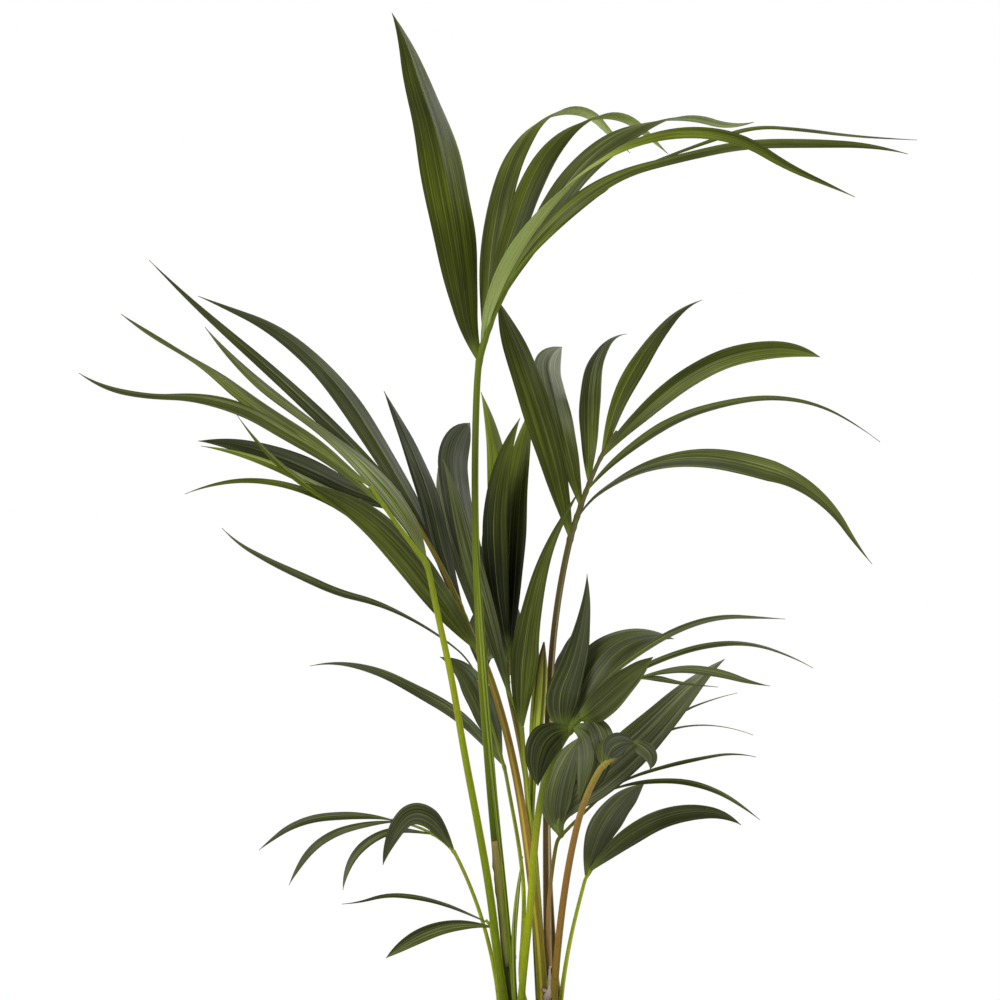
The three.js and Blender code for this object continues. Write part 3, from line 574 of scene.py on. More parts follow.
# %% Low fronds
frond("low_right", (30, 0), (55, 315), [84, 80, 76, 74], [-20, -50], [2.2, 2.1, 1.9, 1.8],
      rib=((66, 333), [60, 45], [-55], 1.2))
leaflet(0.2, (114, 411), [78, 70, 52, 32], [-75, -100], 31, [0], 0.55, 2.4, tone=[.52, .52],
        halves=(.03, -.05), grey=[.5, .7])
leaflet(0.5, (211, 370), [44, 38, 28, 12, -7, -39], [-45, -10], 19, [0], 0.35, 2.2, tone=[.56, .5],
        halves=(.06, -.08))
frond("low_left", (-30, -7), (-75, 342), [96, 101, 106, 112, 117], [-8, -3, 30], [2.3, 2.1, 1.9, 1.8],
      rib=((-138, 375), [125, 145, 158, 167], [50, 70], 1.1))
leaflet(1, (-271, 345), [167, 177, 183, 195, 215, 220], [95, 120], 8, [20, 50], 0.4, 2.4, tone=[.46, .42])
leaflet(0.9, (-241, 310), [180, 188, 196, 216, 236, 244], [100, 150], 7, [20, 40], 0.5, 2.2,
        tone=[.47, .44])
leaflet(0.4, (-187, 305), [169, 172, 199, 221, 246, 264], [90, 120], 7, [20, 40], 0.55, 2, tone=[.49, .46])
leaflet(0.03, (-147, 330), [121, 122, 132, 168, 227, 243, 251, 260], [75, 100], 17, [0, 20], 0.4,
        tone=[.5, .44], halves=(.05, -.05))
frond("lowest_left", (-26, -3), (-39, 268), [100, 99], [5], [2.2, 2, 1.8],
      rib=((-44, 275), [125, 140], [8], 1.3))
leaflet(0.6, (-188, 291), [155, 157, 165, 175, 196, 183], [15, 30], 5, [20, 40], 0.6, 1.4, tone=[.44])
leaflet(0, (-144, 237), [167, 180, 196, 209, 216], [30, 70], 12, [10, 20], 0.55, 2.4, tone=[.52, .55],
        halves=(.08, -.08), grey=[.4])
frond("far_left", (-1, 20), (-25, 426), [115, 85, 88, 97, 101, 100], [0, -60], [2.3, 2.2, 2, 1.8],
      rib=((-52, 515), [108, 106], [-68, -75], 1.2))
leaflet(0.03, (-220, 529), [127, 134, 151, 153, 169, 193], [-95, -130], 13, [0, 10], 0.35, tone=[.54, .46],
        halves=(-.04, .08), grey=[.55])
leaflet(0.15, (-90, 538), [106, 106, 118, 160], [-75, -85], 28, tone=[.5])
leaflet(1, (-308, 667), [110, 142, 150, 157, 167, 157, 156, 152, 134], [-100, -150], 8.5,
        [50, 60, 40, 0, 0, 10], 0.62, tone=[.52, .48], halves=(-.03, .08))
print("fronds so far:", len(FRONDS))

# %% [markdown]
# ## The fronds behind
#
# Two fronds that the front hides fill the crown from behind. They need the fewest numbers.

# %% Rear fronds
frond("rear_right", (29, -11), (18, 490), [95, 91, 88], [-60, -140], [3.2, 2.9, 2.6, 2.3],
      rib=((60, 505), [30, 10], [-170, -200], 1.3))
leaflet(0.2, (50, 570), [95, 84, 75], [-230, -300], 20, grey=[.2])
leaflet(0.6, (90, 545), [50, 40, 20], [-260, -330], 20, grey=[.2])
leaflet(1, (84, 485), [20, -30, -80], [-280, -340], 20, grey=[.2])
leaflet(0.5, (40, 420), [-20, -90, -120], [-250, -310], 22, grey=[.2])
frond("rear_left", (-19, -12), (-45, 500), [96, 94, 93], [-60, -140], [3.2, 2.9, 2.6, 2.3],
      rib=((-40, 570), [93, 85], [-180, -210], 1.3))
leaflet(1, (-30, 740), [90, 88], [-260, -300], 26, grey=[.2])
leaflet(0.7, (-62, 700), [100, 110, 90], [-280, -340], 22, grey=[.2])
leaflet(0.5, (-20, 600), [60, 80, 120], [-280, -360], 22, grey=[.2])
leaflet(0.3, (-50, 590), [110, 100, 90], [-260, -350], 22, grey=[.2])
leaflet(0.8, (-28, 520), [90, 30, -60], [-260, -320], 22, grey=[.2])
print("fronds:", len(FRONDS), "leaflets:", sum(len(f["leaflets"]) for f in FRONDS.values()))

# %% [markdown]
# ## Leaf green
#
# A kentia leaflet is dark and half glossy above, with fine veins that run its whole length
# and close up towards both ends, one pale midrib and a few fainter ribs beside it. Beneath it
# is paler and duller, partly of its own and partly as painted light that stands in for light
# shining through the leaf. The veins can't be drawn in flat object space, because leaves bend
# and twist, so each point carries its own place on the leaf: how far along in metres, how far
# across from the midrib at full width, also in metres, and the share of the length. A second
# set of values tells the leaf's tone, which holds painted light and shade, its painted sheen
# and a number of its own.


# %% The two faces of a leaf
ROOT_GREEN = screen(112, 130, 48)
DRY_BROWN = screen(96, 78, 50)
SPECK_BROWN = screen(92, 84, 52)
# Metres: half the gap from one side rib to the next, and the length of the yellow root
HALF_RIB_GAP = 0.0037
ROOT_LENGTH = 0.028


def leaf_face(name, stops, vein_colour, roughness, gloss):
    """Tone picks the green, partly the leaf's own and partly painted light and shade. Streaks,
    veins and patches move it a little, and a painted sheen, the reflection of a bright
    surround, dulls it. Then the ribs, the yellow root, the dry point and a few specks are laid
    over it."""
    material, tree, shader = new_material(name)
    place = own_values(tree, "leaf_place")
    look = own_values(tree, "leaf_look")
    along, across, share = node(tree, "SeparateXYZ", place).outputs
    tone, grey, number = node(tree, "SeparateXYZ", look).outputs
    own = node(tree, "CombineXYZ", number, number, number).outputs[0]
    streaks = grain(tree, place, (6, 260, 0), 4.0, 0.65, own)
    veins = grain(tree, place, (4, 950, 0), 2.0, 0.6, own)
    patches = grain(tree, place, (14, 40, 0), 3.0, 0.5, own)
    for noise, amount in ((streaks, 0.42), (veins, 0.9), (patches, 0.35)):
        tone = nudged(tree, tone, noise, amount)
    colour = ramp(tree, tone, *stops)
    # Painted sheen, the reflection of a bright surround: less colour and more light
    grey = maths(tree, "MULTIPLY", grey, fade(tree, streaks, 0.38, 0.62, 0.7, 1.25))
    duller = fade(tree, grey, 0.0, 1.0, 1.0, 0.35)
    lighter = fade(tree, grey, 0.0, 1.0, 1.0, 1.4)
    colour = node(tree, "HueSaturation", None, duller, lighter, 1.0, colour).outputs[0]
    # Ribs, fainter towards the point and in patches
    beside = maths(tree, "ABSOLUTE", across)
    midrib = fade(tree, beside, 0.0001, 0.0005, 0.5, 0.0)
    side_ribs = fade(tree, maths(tree, "PINGPONG", beside, HALF_RIB_GAP), 0.0001, 0.0004, 0.2, 0.0)
    ribs = maths(tree, "MAXIMUM", midrib, side_ribs)
    ribs = maths(tree, "MULTIPLY", ribs, fade(tree, share, 0.45, 0.9, 1.0, 0.2))
    ribs = maths(tree, "MULTIPLY", ribs, fade(tree, patches, 0.4, 0.6, 0.5, 1.0))
    colour = blend(tree, ribs, colour, vein_colour)
    # The root of every leaf, and the dry point of some, at a ragged edge
    root = fade(tree, along, 0.0, ROOT_LENGTH, 0.5, 0.0)
    root = maths(tree, "MULTIPLY", root, fade(tree, share, 0.05, 0.25, 1.0, 0.0))
    colour = blend(tree, root, colour, ROOT_GREEN)
    ragged = nudged(tree, share, streaks, 0.05)
    chance = node(tree, "TexWhiteNoise", own).outputs[0]
    dry = fade(tree, ragged, 0.955, 0.985)
    dry = maths(tree, "MULTIPLY", dry, fade(tree, chance, 0.3, 0.9, 0.0, 0.7))
    colour = blend(tree, dry, colour, DRY_BROWN)
    specks = grain(tree, place, (260, 900, 0), 1.0, 0.5, own)
    colour = blend(tree, fade(tree, specks, 0.74, 0.8, 0.0, 0.35), colour, SPECK_BROWN)
    rough = nudged(tree, roughness, streaks, 0.25)
    relief = mixed(tree, veins, streaks, 0.5)
    finish_shader(tree, shader, colour, rough, gloss, relief, depth=0.0004, strength=0.5)
    return material


# The ramps run from painted shade, for leaves deep in the crown, through the leaf's own green to painted
# light for leaves in full light
UPPER_GREENS = (
    (0.0, (12, 15, 4)), (0.25, (34, 40, 6)), (0.5, (60, 68, 10)), (0.7, (88, 98, 18)),
    (0.85, (118, 134, 34)), (1.0, (150, 162, 84)),
)
# The underside's paler greens are partly its own and partly painted light that stands in for light shining
# through the leaf
UNDER_GREENS = ((0.0, (38, 44, 12)), (0.3, (74, 84, 22)), (0.6, (108, 122, 38)), (1.0, (158, 174, 96)))
leaf_upper = leaf_face("leaf_upper", UPPER_GREENS, screen(136, 150, 70), roughness=0.48, gloss=0.12)
leaf_under = leaf_face("leaf_under", UNDER_GREENS, screen(160, 172, 100), roughness=0.6, gloss=0.1)
print("leaf materials:", leaf_upper.name, leaf_under.name)

# %% [markdown]
# ## A leaflet
#
# A leaflet is a thin blade folded like a low roof along its midrib: steeply at its root, then
# almost flat. It could be a flat sheet with Solidify, but the real one is thickest at its
# midrib, which stands out below as a keel, and thins to nothing at its margins. So each row
# of the grid is the whole outline: across the upper face, then back along the lower one.

# %% Across a leaflet
# The lean back in degrees, the share of the length where it is full, the roll that ends it
LEAN, LEAN_FULL_AT, NO_LEAN_ROLL = 35.0, 0.25, 60.0
# Shares of the half width: the fold, how much steeper it is at the root, the rounding of the
# midrib, the waves of the margins and the height of the pleats
FOLD, ROOT_FOLD, ROUNDING, WAVE, PLEAT = 0.16, 0.5, 0.04, 0.035, 0.009
ROOT_FOLD_LENGTH = 0.05
PLEATS = 2.5
# Millimetres: half the blade's thickness, the least half width, the ridge above the midrib,
# the keel below it at the tip and how much higher it is at the root, and their widths
HALF_THICK, LEAST_HALF = 0.22, 0.3
RIDGE, RIDGE_WIDTH = 0.3, 0.8
KEEL, ROOT_KEEL, KEEL_WIDTH = 0.15, 1.1, 1.1
# Leaflets shorter than this get half as many rows
SHORT_LEAF = 120.0
# A full turn in radians, rounded, which is near enough for waves and pleats
TURN = 6.3
HALF_ACROSS = np.array([0, 0.07, 0.16, 0.27, 0.40, 0.55, 0.72, 0.88, 0.965, 1])
ACROSS = np.concatenate([-HALF_ACROSS[:0:-1], HALF_ACROSS])
LOWER = ACROSS[-2:0:-1]
# How far up its sine wave a leaflet starts
LEAF_ROOT = 0.09


def leaf_shape(t, peak, point):
    """Share of the full width at t: a quarter of a sine wave from the root to the peak, then
    one minus a power of the rest of the way, which is blunter the higher the power."""
    rising = np.sin(np.pi / 2 * (LEAF_ROOT + (1 - LEAF_ROOT) * np.minimum(t / peak, 1)))
    rest = np.clip((t - peak) / (1 - peak), 0, 1)
    return np.where(t < peak, rising, 1 - rest**point)


def turned(vectors, axes, angles):
    """Each vector turned about its axis by its angle, where the two are square to each
    other: cosine of itself plus sine of the cross product."""
    return vectors * np.cos(angles)[:, None] + np.cross(axes, vectors) * np.sin(angles)[:, None]


def leaf_blade(front, leaf, number):
    """A closed blade on a path. At a share v of the half width it stands above its margins by
    the fold, with soft pleats and a margin that waves a little. The two faces lie half a
    thickness above and below that. Past its root a leaflet leans back from the viewer, less
    where it is rolled already, and is as much wider as the lean hides."""
    chance = np.random.default_rng(number)
    points = in_space(front)
    length = np.linalg.norm(np.diff(points, axis=0), axis=1).sum()
    points = points[:: 1 if length > SHORT_LEAF else 2]
    t = np.linspace(0, 1, len(points))
    along = directions(points)
    side = 1 if front[-1, 0] >= front[0, 0] else -1
    rolled = along_spline(leaf["roll"], t)
    leaning = LEAN * np.minimum(t / LEAN_FULL_AT, 1) * np.maximum(0, 1 - np.abs(rolled) / NO_LEAN_ROLL)
    wider = np.where(leaning > 0, np.cos(np.radians(rolled)) / np.cos(np.radians(rolled + leaning)), 1)
    up = turned(facing(points), along, -side * np.radians(rolled + leaning))
    across = np.cross(along, up)
    half = leaf["width"] / 2 * wider * leaf_shape(t, leaf["peak"], leaf["point"])
    half = np.maximum(half, LEAST_HALF)[:, None]
    t = t[:, None]
    fold = FOLD + ROOT_FOLD * np.exp(-t / ROOT_FOLD_LENGTH)
    counts = chance.uniform(2, 4, 2)
    starts = chance.uniform(0, TURN, 2)

    def height(v):
        roof = np.sqrt(v**2 + ROUNDING**2) - ROUNDING
        left, right = (np.sin(count * TURN * t + start) for count, start in zip(counts, starts))
        wave = np.where(v < 0, left, right)
        pleat = PLEAT * np.cos(TURN * PLEATS * np.abs(v)) * (1 - v**4)
        return half * (fold * (1 - roof) + WAVE * wave * np.abs(v) ** 3 + pleat)

    upper = ACROSS[None, :]
    lower = LOWER[None, :]
    ridge = RIDGE * (1 - t) * np.exp(-((upper * half / RIDGE_WIDTH) ** 2))
    keel = (KEEL + ROOT_KEEL * (1 - t) ** 2) * np.exp(-((lower * half / KEEL_WIDTH) ** 2))
    top = height(upper) + HALF_THICK * np.sqrt(1 - upper**2) + ridge
    bottom = height(lower) - HALF_THICK * np.sqrt(1 - lower**2) - keel
    v = np.concatenate([np.broadcast_to(upper, top.shape), np.broadcast_to(lower, bottom.shape)], 1)
    h = np.concatenate([top, bottom], 1)
    grid = outlines(points, across, up, v * half, h)
    place = np.stack([np.broadcast_to(t * length, v.shape) * METRE, v * leaf["width"] / 2 * METRE,
                      np.broadcast_to(t, v.shape)], -1)
    # Painted light and shade: tone runs darker where a leaf lies deep in the crown, and halves lightens or
    # darkens each side of the fold as the light falls on it
    tone = along_list(leaf["tone"], t) + np.interp(v, [-0.1, 0.1], leaf["halves"])
    # Painted sheen: grey stands in for the reflection of a bright surround on the leaf
    grey = np.broadcast_to(along_list(leaf["grey"], t), v.shape)
    look = np.stack([tone, grey, np.full(v.shape, float(number))], -1)
    faces = np.repeat([0, 1], [len(ACROSS) - 1, len(LOWER) + 1])
    return surface(grid, faces, leaf_place=place, leaf_look=look)


print("points round a leaflet:", len(ACROSS) + len(LOWER))


# %% [markdown]
# ## Petioles and ribs
#
# A petiole is a long tapering limb with a shallow channel along its inner side, which fades
# towards the blade, where the limb goes on as the rib. It could be a bevelled curve, but a
# channel and the small swellings where leaflets join need a section that changes, so it is a
# grid too: a radius that depends on the angle round the limb and on the place along it.

# %% Round a limb
LIMB_SIDES = 20
STEM_TOP = 185.0
# Gap that keeps two pieces from sharing a face, and how deep a foot is sunk into its stem
CLEARANCE = 0.3
SUNK = 6.0
# The channel and its lips: depth or height as a share of the radius, angle and width in radians
CHANNEL_DEPTH, CHANNEL_WIDTH = 0.34, 0.5
LIP_HEIGHT, LIP_ANGLE, LIP_WIDTH = 0.08, 1.0, 0.35
RIB_CHANNEL = 0.25
# A spear's pleats: how many go round it, and the radians that they wind by up to the tip
PLEATS_ROUND, PLEATS_WIND = 5, 9.0
# A petiole's wider foot: by what share, and over what height
FOOT_SWELL, FOOT_HEIGHT = 0.22, 14.0
# The swelling under a leaflet: millimetres, and share of the rib's length
SEAT_SWELL, SEAT_LENGTH = 0.5, 0.02
KINK_ROUNDS = 8


def travelled(points):
    """How far along the line each point lies."""
    return np.concatenate([[0], np.cumsum(np.linalg.norm(np.diff(points, axis=0), axis=1))])


def limb_place(along, around, share):
    """What the skin of a limb or a strip reads: metres along it, the place round or across it
    from -1 to 1, and the share of its length."""
    return np.stack(np.broadcast_arrays(along * METRE, around, share), -1)


def limb(points, radii, inner, channel, share, pleats=0.0):
    """Radius at an angle from the inner side: the limb's own radius, less a rounded channel
    with raised lips, plus pleats that wind slowly round it. Share is how far along its skin's
    colours each point lies."""
    angle = np.linspace(-np.pi, np.pi, LIMB_SIDES, endpoint=False)[None, :]
    along = directions(points)
    face = unit(inner - along * (inner * along).sum(1, keepdims=True))
    across = np.cross(along, face)
    lips = LIP_HEIGHT * np.exp(-(((np.abs(angle) - LIP_ANGLE) / LIP_WIDTH) ** 2))
    groove = CHANNEL_DEPTH * np.exp(-((angle / CHANNEL_WIDTH) ** 2)) - lips
    t = np.linspace(0, 1, len(points))[:, None]
    folds = pleats * np.cos(PLEATS_ROUND * angle + PLEATS_WIND * t)
    reach = np.asarray(radii)[:, None] * (1 - np.asarray(channel)[:, None] * groove + folds)
    grid = outlines(points, face, across, np.cos(angle) * reach, np.sin(angle) * reach)
    return surface(grid, limb_place=limb_place(travelled(points)[:, None], angle / np.pi, share[:, None]))


def eased(points):
    """Rounds off a kink: each inner point moves towards the middle of its neighbours, a few
    times over."""
    for _ in range(KINK_ROUNDS):
        points = np.concatenate([points[:1], (points[:-2] + 2 * points[1:-1] + points[2:]) / 4, points[-1:]])
    return points


def shown_foot(foot):
    """Where a petiole that stands on a stem shows in the front view."""
    scale = (VIEW_DISTANCE - foot[1]) / VIEW_DISTANCE
    return VIEW_X + (foot[0] - VIEW_X) / scale, VIEW_Z + (STEM_TOP + CLEARANCE - VIEW_Z) / scale


def frond_lines(frond):
    """The paths of the petiole and of the rib that starts at its tip."""
    depths = [frond["foot"][1], *frond["depths"]]
    petiole = walk(shown_foot(frond["foot"]), frond["tip"], frond["headings"], depths)
    rib = frond["rib"]
    return petiole, walk(frond["tip"], rib["tip"], rib["headings"], [frond["depths"][-1], *rib["depths"]])


def stalk(frond):
    """Petiole and rib as one limb, sunk a little into the stem, with a wider foot and small
    swellings where the leaflets join. Its place along runs from 0 to 1 on the petiole."""
    petiole, rib = frond_lines(frond)
    petiole, rib = in_space(petiole), in_space(rib)
    foot = petiole[:1] - [[0, 0, SUNK]]
    points = eased(np.concatenate([foot, petiole, rib[1:]]))
    t = np.linspace(0, 1, STEPS + 1)
    radii = along_spline(frond["radii"], t)
    rib_radii = np.linspace(frond["radii"][-1], frond["rib"]["radius"], STEPS + 1)[1:]
    for leaf in frond["leaflets"]:
        rib_radii = rib_radii + SEAT_SWELL * np.exp(-(((t[1:] - leaf["seat"]) / SEAT_LENGTH) ** 2))
    radii = np.concatenate([radii[:1], radii, rib_radii])
    height = points[:, 2] - STEM_TOP
    radii = radii * (1 + FOOT_SWELL * np.exp(-np.maximum(height, 0) / FOOT_HEIGHT))
    outward = points[STEPS] - points[0]
    outward = outward / np.hypot(*outward[:2])
    inner = np.tile([-outward[0], -outward[1], 0.8], (len(points), 1))
    channel = np.concatenate([[1], 1 - (1 - RIB_CHANNEL) * t, np.full(STEPS, RIB_CHANNEL)])
    share = np.concatenate([[0], t, np.full(STEPS, 1.0)])
    return limb(points, radii, inner, channel, share)


print("points along the top frond:", len(stalk(FRONDS["top"])["points"]) // LIMB_SIDES)


# %% [markdown]
# ## Petiole colours
#
# Each petiole goes through its own colours from foot to blade: some are yellow-green, some
# olive or tan where the sun has reached them, and many have a paler strip along the lips of
# the channel. A few stops are painted light and shade instead: the top petiole is darker where
# the crown shades it, and three low petioles on the left are lighter than their own green,
# against the shade of the fronds above. Fine fibres run along all of them, with a few brown
# scurfy flecks near the foot.


# %% The skin of a limb
FIBRE_GREEN = screen(58, 60, 24)
# The dark green of the painted shade in a spear's pleat valleys
PLEAT_SHADE_GREEN = screen(52, 66, 14)
FLECK_BROWN = screen(88, 64, 38)
# Where the channel's lips lie, as a share of half a turn
LIP_PLACE = 0.32


def limb_skin(name, colours, edge, edge_amount, roughness=0.42, flecks=0.5, pleat_shade=0.0):
    """Colours evenly spaced from foot to tip, moved by patches and darkened by fibres, with the
    edge colour on the channel's lips and brown flecks that thin out upwards. The last argument
    paints shade into the valleys of a spear's pleats, which follow the same cosine as its radius."""
    material, tree, shader = new_material(name)
    place = own_values(tree, "limb_place")
    _, angle, share = node(tree, "SeparateXYZ", place).outputs
    where = object_place(tree)
    fibres = grain(tree, where, (900, 900, 9), 3.0, 0.6)
    patches = grain(tree, where, (60, 60, 16), 3.0, 0.6)
    place_on_ramp = nudged(tree, share, patches, 0.16)
    colour = ramp(tree, place_on_ramp, *zip(np.linspace(0, 1, len(colours)), colours))
    colour = blend(tree, fade(tree, fibres, 0.3, 0.7, 0.0, 0.3), colour, FIBRE_GREEN)
    from_lip = maths(tree, "ABSOLUTE", maths(tree, "SUBTRACT", maths(tree, "ABSOLUTE", angle), LIP_PLACE))
    lip = fade(tree, from_lip, 0.04, 0.12, edge_amount, 0.0)
    lip = maths(tree, "MULTIPLY", lip, fade(tree, share, 0.6, 1.0, 1.0, 0.2))
    colour = blend(tree, lip, colour, screen(*edge))
    # Painted shade: the valleys between a spear's pleats are darkened where shade falls
    if pleat_shade:
        wound = maths(tree, "MULTIPLY", share, PLEATS_WIND)
        turns = maths(tree, "MULTIPLY_ADD", angle, PLEATS_ROUND * np.pi, wound)
        painted_valley_shade = fade(tree, maths(tree, "COSINE", turns), -0.7, 0.3, pleat_shade, 0.0)
        colour = blend(tree, painted_valley_shade, colour, PLEAT_SHADE_GREEN)
    spots = grain(tree, where, (420, 420, 160), 2.0, 0.5)
    spots = fade(tree, spots, 0.62, 0.7, 0.0, flecks)
    spots = maths(tree, "MULTIPLY", spots, fade(tree, share, 0.0, 0.5, 1.0, 0.15))
    colour = blend(tree, spots, colour, FLECK_BROWN)
    rough = nudged(tree, roughness, patches, 0.3)
    finish_shader(tree, shader, colour, rough, 0.08, fibres, depth=0.0003, strength=0.5)
    return material


YELLOW_GREEN = (142, 156, 10)
OLIVE = (126, 112, 30)
TAN = (156, 122, 50)
BROWN = (96, 74, 44)
CREAM = (206, 186, 146)
# Each frond's petiole: colours from foot to blade, the colour of the lips and how much of it
PETIOLE_COLOURS = {
    # Painted shade: the top petiole's darker foot and darker stretch near the blade stand for the crown's
    # shade on it
    "top": ([(78, 92, 40), (78, 92, 18), (92, 108, 8), (108, 120, 8), (106, 120, 20), (70, 80, 16),
             (96, 110, 30)], (160, 174, 84), 0.6),
    "left": ([(104, 120, 14), (110, 128, 12), (122, 138, 18), (134, 146, 22), (144, 154, 26),
              (120, 134, 28)], (190, 198, 60), 0.6),
    "left_back": ([(126, 124, 20), (132, 118, 24), TAN, (150, 116, 50), (108, 98, 24)], (186, 176, 70), 0.6),
    "right": ([(122, 96, 66), (106, 84, 54), (96, 74, 46), (84, 68, 36), (80, 76, 34)], CREAM, 0.7),
    "centre": ([YELLOW_GREEN, (150, 164, 40), (146, 158, 40), (110, 122, 30)], (190, 198, 110), 0.5),
    "back": ([OLIVE, TAN, (136, 112, 40), (70, 76, 24)], (180, 160, 80), 0.4),
    "front": ([(124, 142, 18), (138, 154, 14), (150, 164, 16), (146, 156, 28), (96, 110, 34),
               (84, 100, 30)], (190, 190, 110), 0.6),
    "front_right": ([(136, 124, 40), (146, 112, 46), (144, 104, 46), (148, 112, 50), (152, 134, 60)],
                    (206, 176, 110), 0.5),
    "middle_right": ([BROWN, (140, 104, 60), (156, 120, 70), (156, 122, 68), (150, 118, 62),
                      (112, 100, 36), (90, 90, 10)], CREAM, 0.3),
    "low_right": ([(146, 160, 24), (156, 172, 16), (150, 166, 16)], (190, 200, 80), 0.5),
    # Painted light: these three low petioles are lighter than their own green, against the shade that the
    # fronds above cast on them
    "low_left": ([(150, 164, 20), (164, 178, 30), (160, 170, 60)], (200, 210, 110), 0.6),
    "lowest_left": ([(150, 164, 20), (150, 166, 20)], (196, 206, 100), 0.5),
    "far_left": ([(150, 164, 16), (160, 176, 14), (156, 168, 40), (110, 120, 40)], (200, 210, 90), 0.6),
    "rear_right": ([BROWN, (104, 86, 40), (80, 86, 24)], CREAM, 0.4),
    "rear_left": ([OLIVE, (118, 112, 26), (80, 90, 24)], (170, 160, 80), 0.4),
}
print("petiole colours for", len(PETIOLE_COLOURS), "fronds")

# %% [markdown]
# ## All the fronds
#
# Each frond becomes two pieces, a stalk and its leaves, so that either can be swapped or
# recoloured alone. The leaves start on the rib's own path, at the seat that the table gives.

# %% Make the fronds
PETIOLE_SLOTS = {
    "petiole_olive": ("left_back", "back", "rear_left"),
    "petiole_brown": ("right", "middle_right", "rear_right"),
    "petiole_orange": ("front_right",),
}
number = 0
for name, numbers in FRONDS.items():
    slot = next((key for key, names in PETIOLE_SLOTS.items() if name in names), "petiole_green")
    skin = limb_skin(f"skin_{name}", *PETIOLE_COLOURS[name])
    make_piece(f"stalk_{name}", [stalk(numbers)], [skin], [f"petiole_{name}"])
    rib = frond_lines(numbers)[1]
    blades = []
    for leaf in numbers["leaflets"]:
        number += 1
        x, z, depth = rib[round(leaf["seat"] * STEPS)]
        path = walk((x, z), leaf["tip"], leaf["headings"], [depth, *leaf["depths"]])
        blades.append(leaf_blade(path, leaf, number))
    make_piece(f"leaves_{name}", blades, [leaf_upper, leaf_under], [f"frond_{name}"])

# %% [markdown]
# ## Leaves that have not opened
#
# A new kentia leaf comes up as a spear: all its leaflets lie folded against each other, so
# its skin has pleats that wind slowly round it. A third, short one is only a leaf base that
# has lost its blade. All three are limbs with a thin point, and the pleats are a cosine of
# the angle round the limb.

# %% Spears
SPEARS = {
    "spear_right": dict(
        foot=(8, -4), tip=(14, 553), headings=[92, 92, 91, 87, 84, 84], depths=[-22, -28], pleats=0.12,
        radii=[2, 2, 2, 2, 2, 2.2, 2.4, 2.6, 2.8, 3.1, 3.6, 5, 6.4, 7, 6.8, 5.2, 0.8],
        colours=[(126, 144, 40), (118, 132, 40), (126, 140, 40), (138, 154, 42), (150, 166, 44),
                 (160, 176, 48), (168, 184, 50), (176, 190, 56), (180, 190, 66), (176, 176, 76),
                 (132, 88, 76)]),
    "spear_left": dict(
        foot=(-15, 8), tip=(-55, 695), headings=[94, 96, 94, 92], depths=[18, 22], pleats=0.06,
        radii=[2.4, 2.2, 2.2, 2.4, 2.8, 3, 2.2, 0.3],
        colours=[(110, 132, 14), (116, 136, 14), (136, 152, 50), (126, 142, 50), (96, 112, 30)]),
    "leaf_base": dict(
        foot=(-14, 21), tip=(-7, 339), headings=[93, 88, 82, 78], depths=[18, 12], pleats=0.03,
        radii=[2.6, 2.6, 2.6, 2.2, 0.3], colours=[(120, 136, 30), (150, 164, 60), (160, 174, 76)]),
}
SPEAR_EDGE = (196, 204, 120)
# The way that a spear's shallow channel faces, and its depth beside a petiole's
SPEAR_INNER, SPEAR_CHANNEL = (0.3, 1, 0.2), 0.3
LEAST_RADIUS = 0.3
for name, spear in SPEARS.items():
    depths = [spear["foot"][1], *spear["depths"]]
    line = in_space(walk(shown_foot(spear["foot"]), spear["tip"], spear["headings"], depths))
    line = np.concatenate([line[:1] - [[0, 0, SUNK]], line])
    t = np.linspace(0, 1, STEPS + 1)
    radii = np.concatenate([[spear["radii"][0]], along_spline(spear["radii"], t)])
    radii = np.maximum(radii, LEAST_RADIUS)
    inner = np.tile(SPEAR_INNER, (len(line), 1))
    channel = np.full(len(line), SPEAR_CHANNEL)
    made = limb(line, radii, inner, channel, np.concatenate([[0], t]), spear["pleats"])
    skin = limb_skin(f"skin_{name}", spear["colours"], SPEAR_EDGE, 0.3, roughness=0.46, flecks=0.2,
                     pleat_shade=0.85)
    make_piece(f"new_{name}", [made], [skin], [name])

# %% [markdown]
# ## Torn sheaths and bracts
#
# Where a petiole leaves its stem it is wrapped in a sheath, which dries, tears and stays on
# as papery strips. They could be flat cut-outs, but a strip that hugs a stalk is bowed across
# its width. So each one is a path with a width, a bow and a ragged end, thin but closed.

# %% Sheath strips
STRIP_ACROSS = np.linspace(-1, 1, 9)
STRIP_THICKNESS = 0.5
# Every third step of a path is enough for a strip
STRIP_STEP = 3
LEAST_HALF_STRIP = 0.25
NICKS = (0.82, 1.1)


def strip(foot, tip, headings, depths, widths, bow, number):
    """Two faces half a thickness apart, raised in the middle by the bow times half the width:
    one minus the square of the place across. The width follows its list, with small nicks."""
    chance = np.random.default_rng(number)
    points = in_space(walk(foot, tip, headings, depths))[::STRIP_STEP]
    t = np.linspace(0, 1, len(points))
    up = facing(points)
    across = np.cross(directions(points), up)
    half = np.maximum(along_spline(widths, t) / 2, LEAST_HALF_STRIP) * chance.uniform(*NICKS, len(points))
    half = half[:, None]
    v, face = there_and_back(STRIP_ACROSS)
    edge = np.sqrt(np.maximum(1 - v**2, 0)) * STRIP_THICKNESS / 2
    height = bow * half * (1 - v**2) + edge * face
    grid = outlines(points, across, up, v * half, height)
    return surface(grid, limb_place=limb_place(travelled(points)[:, None], v, t[:, None]))


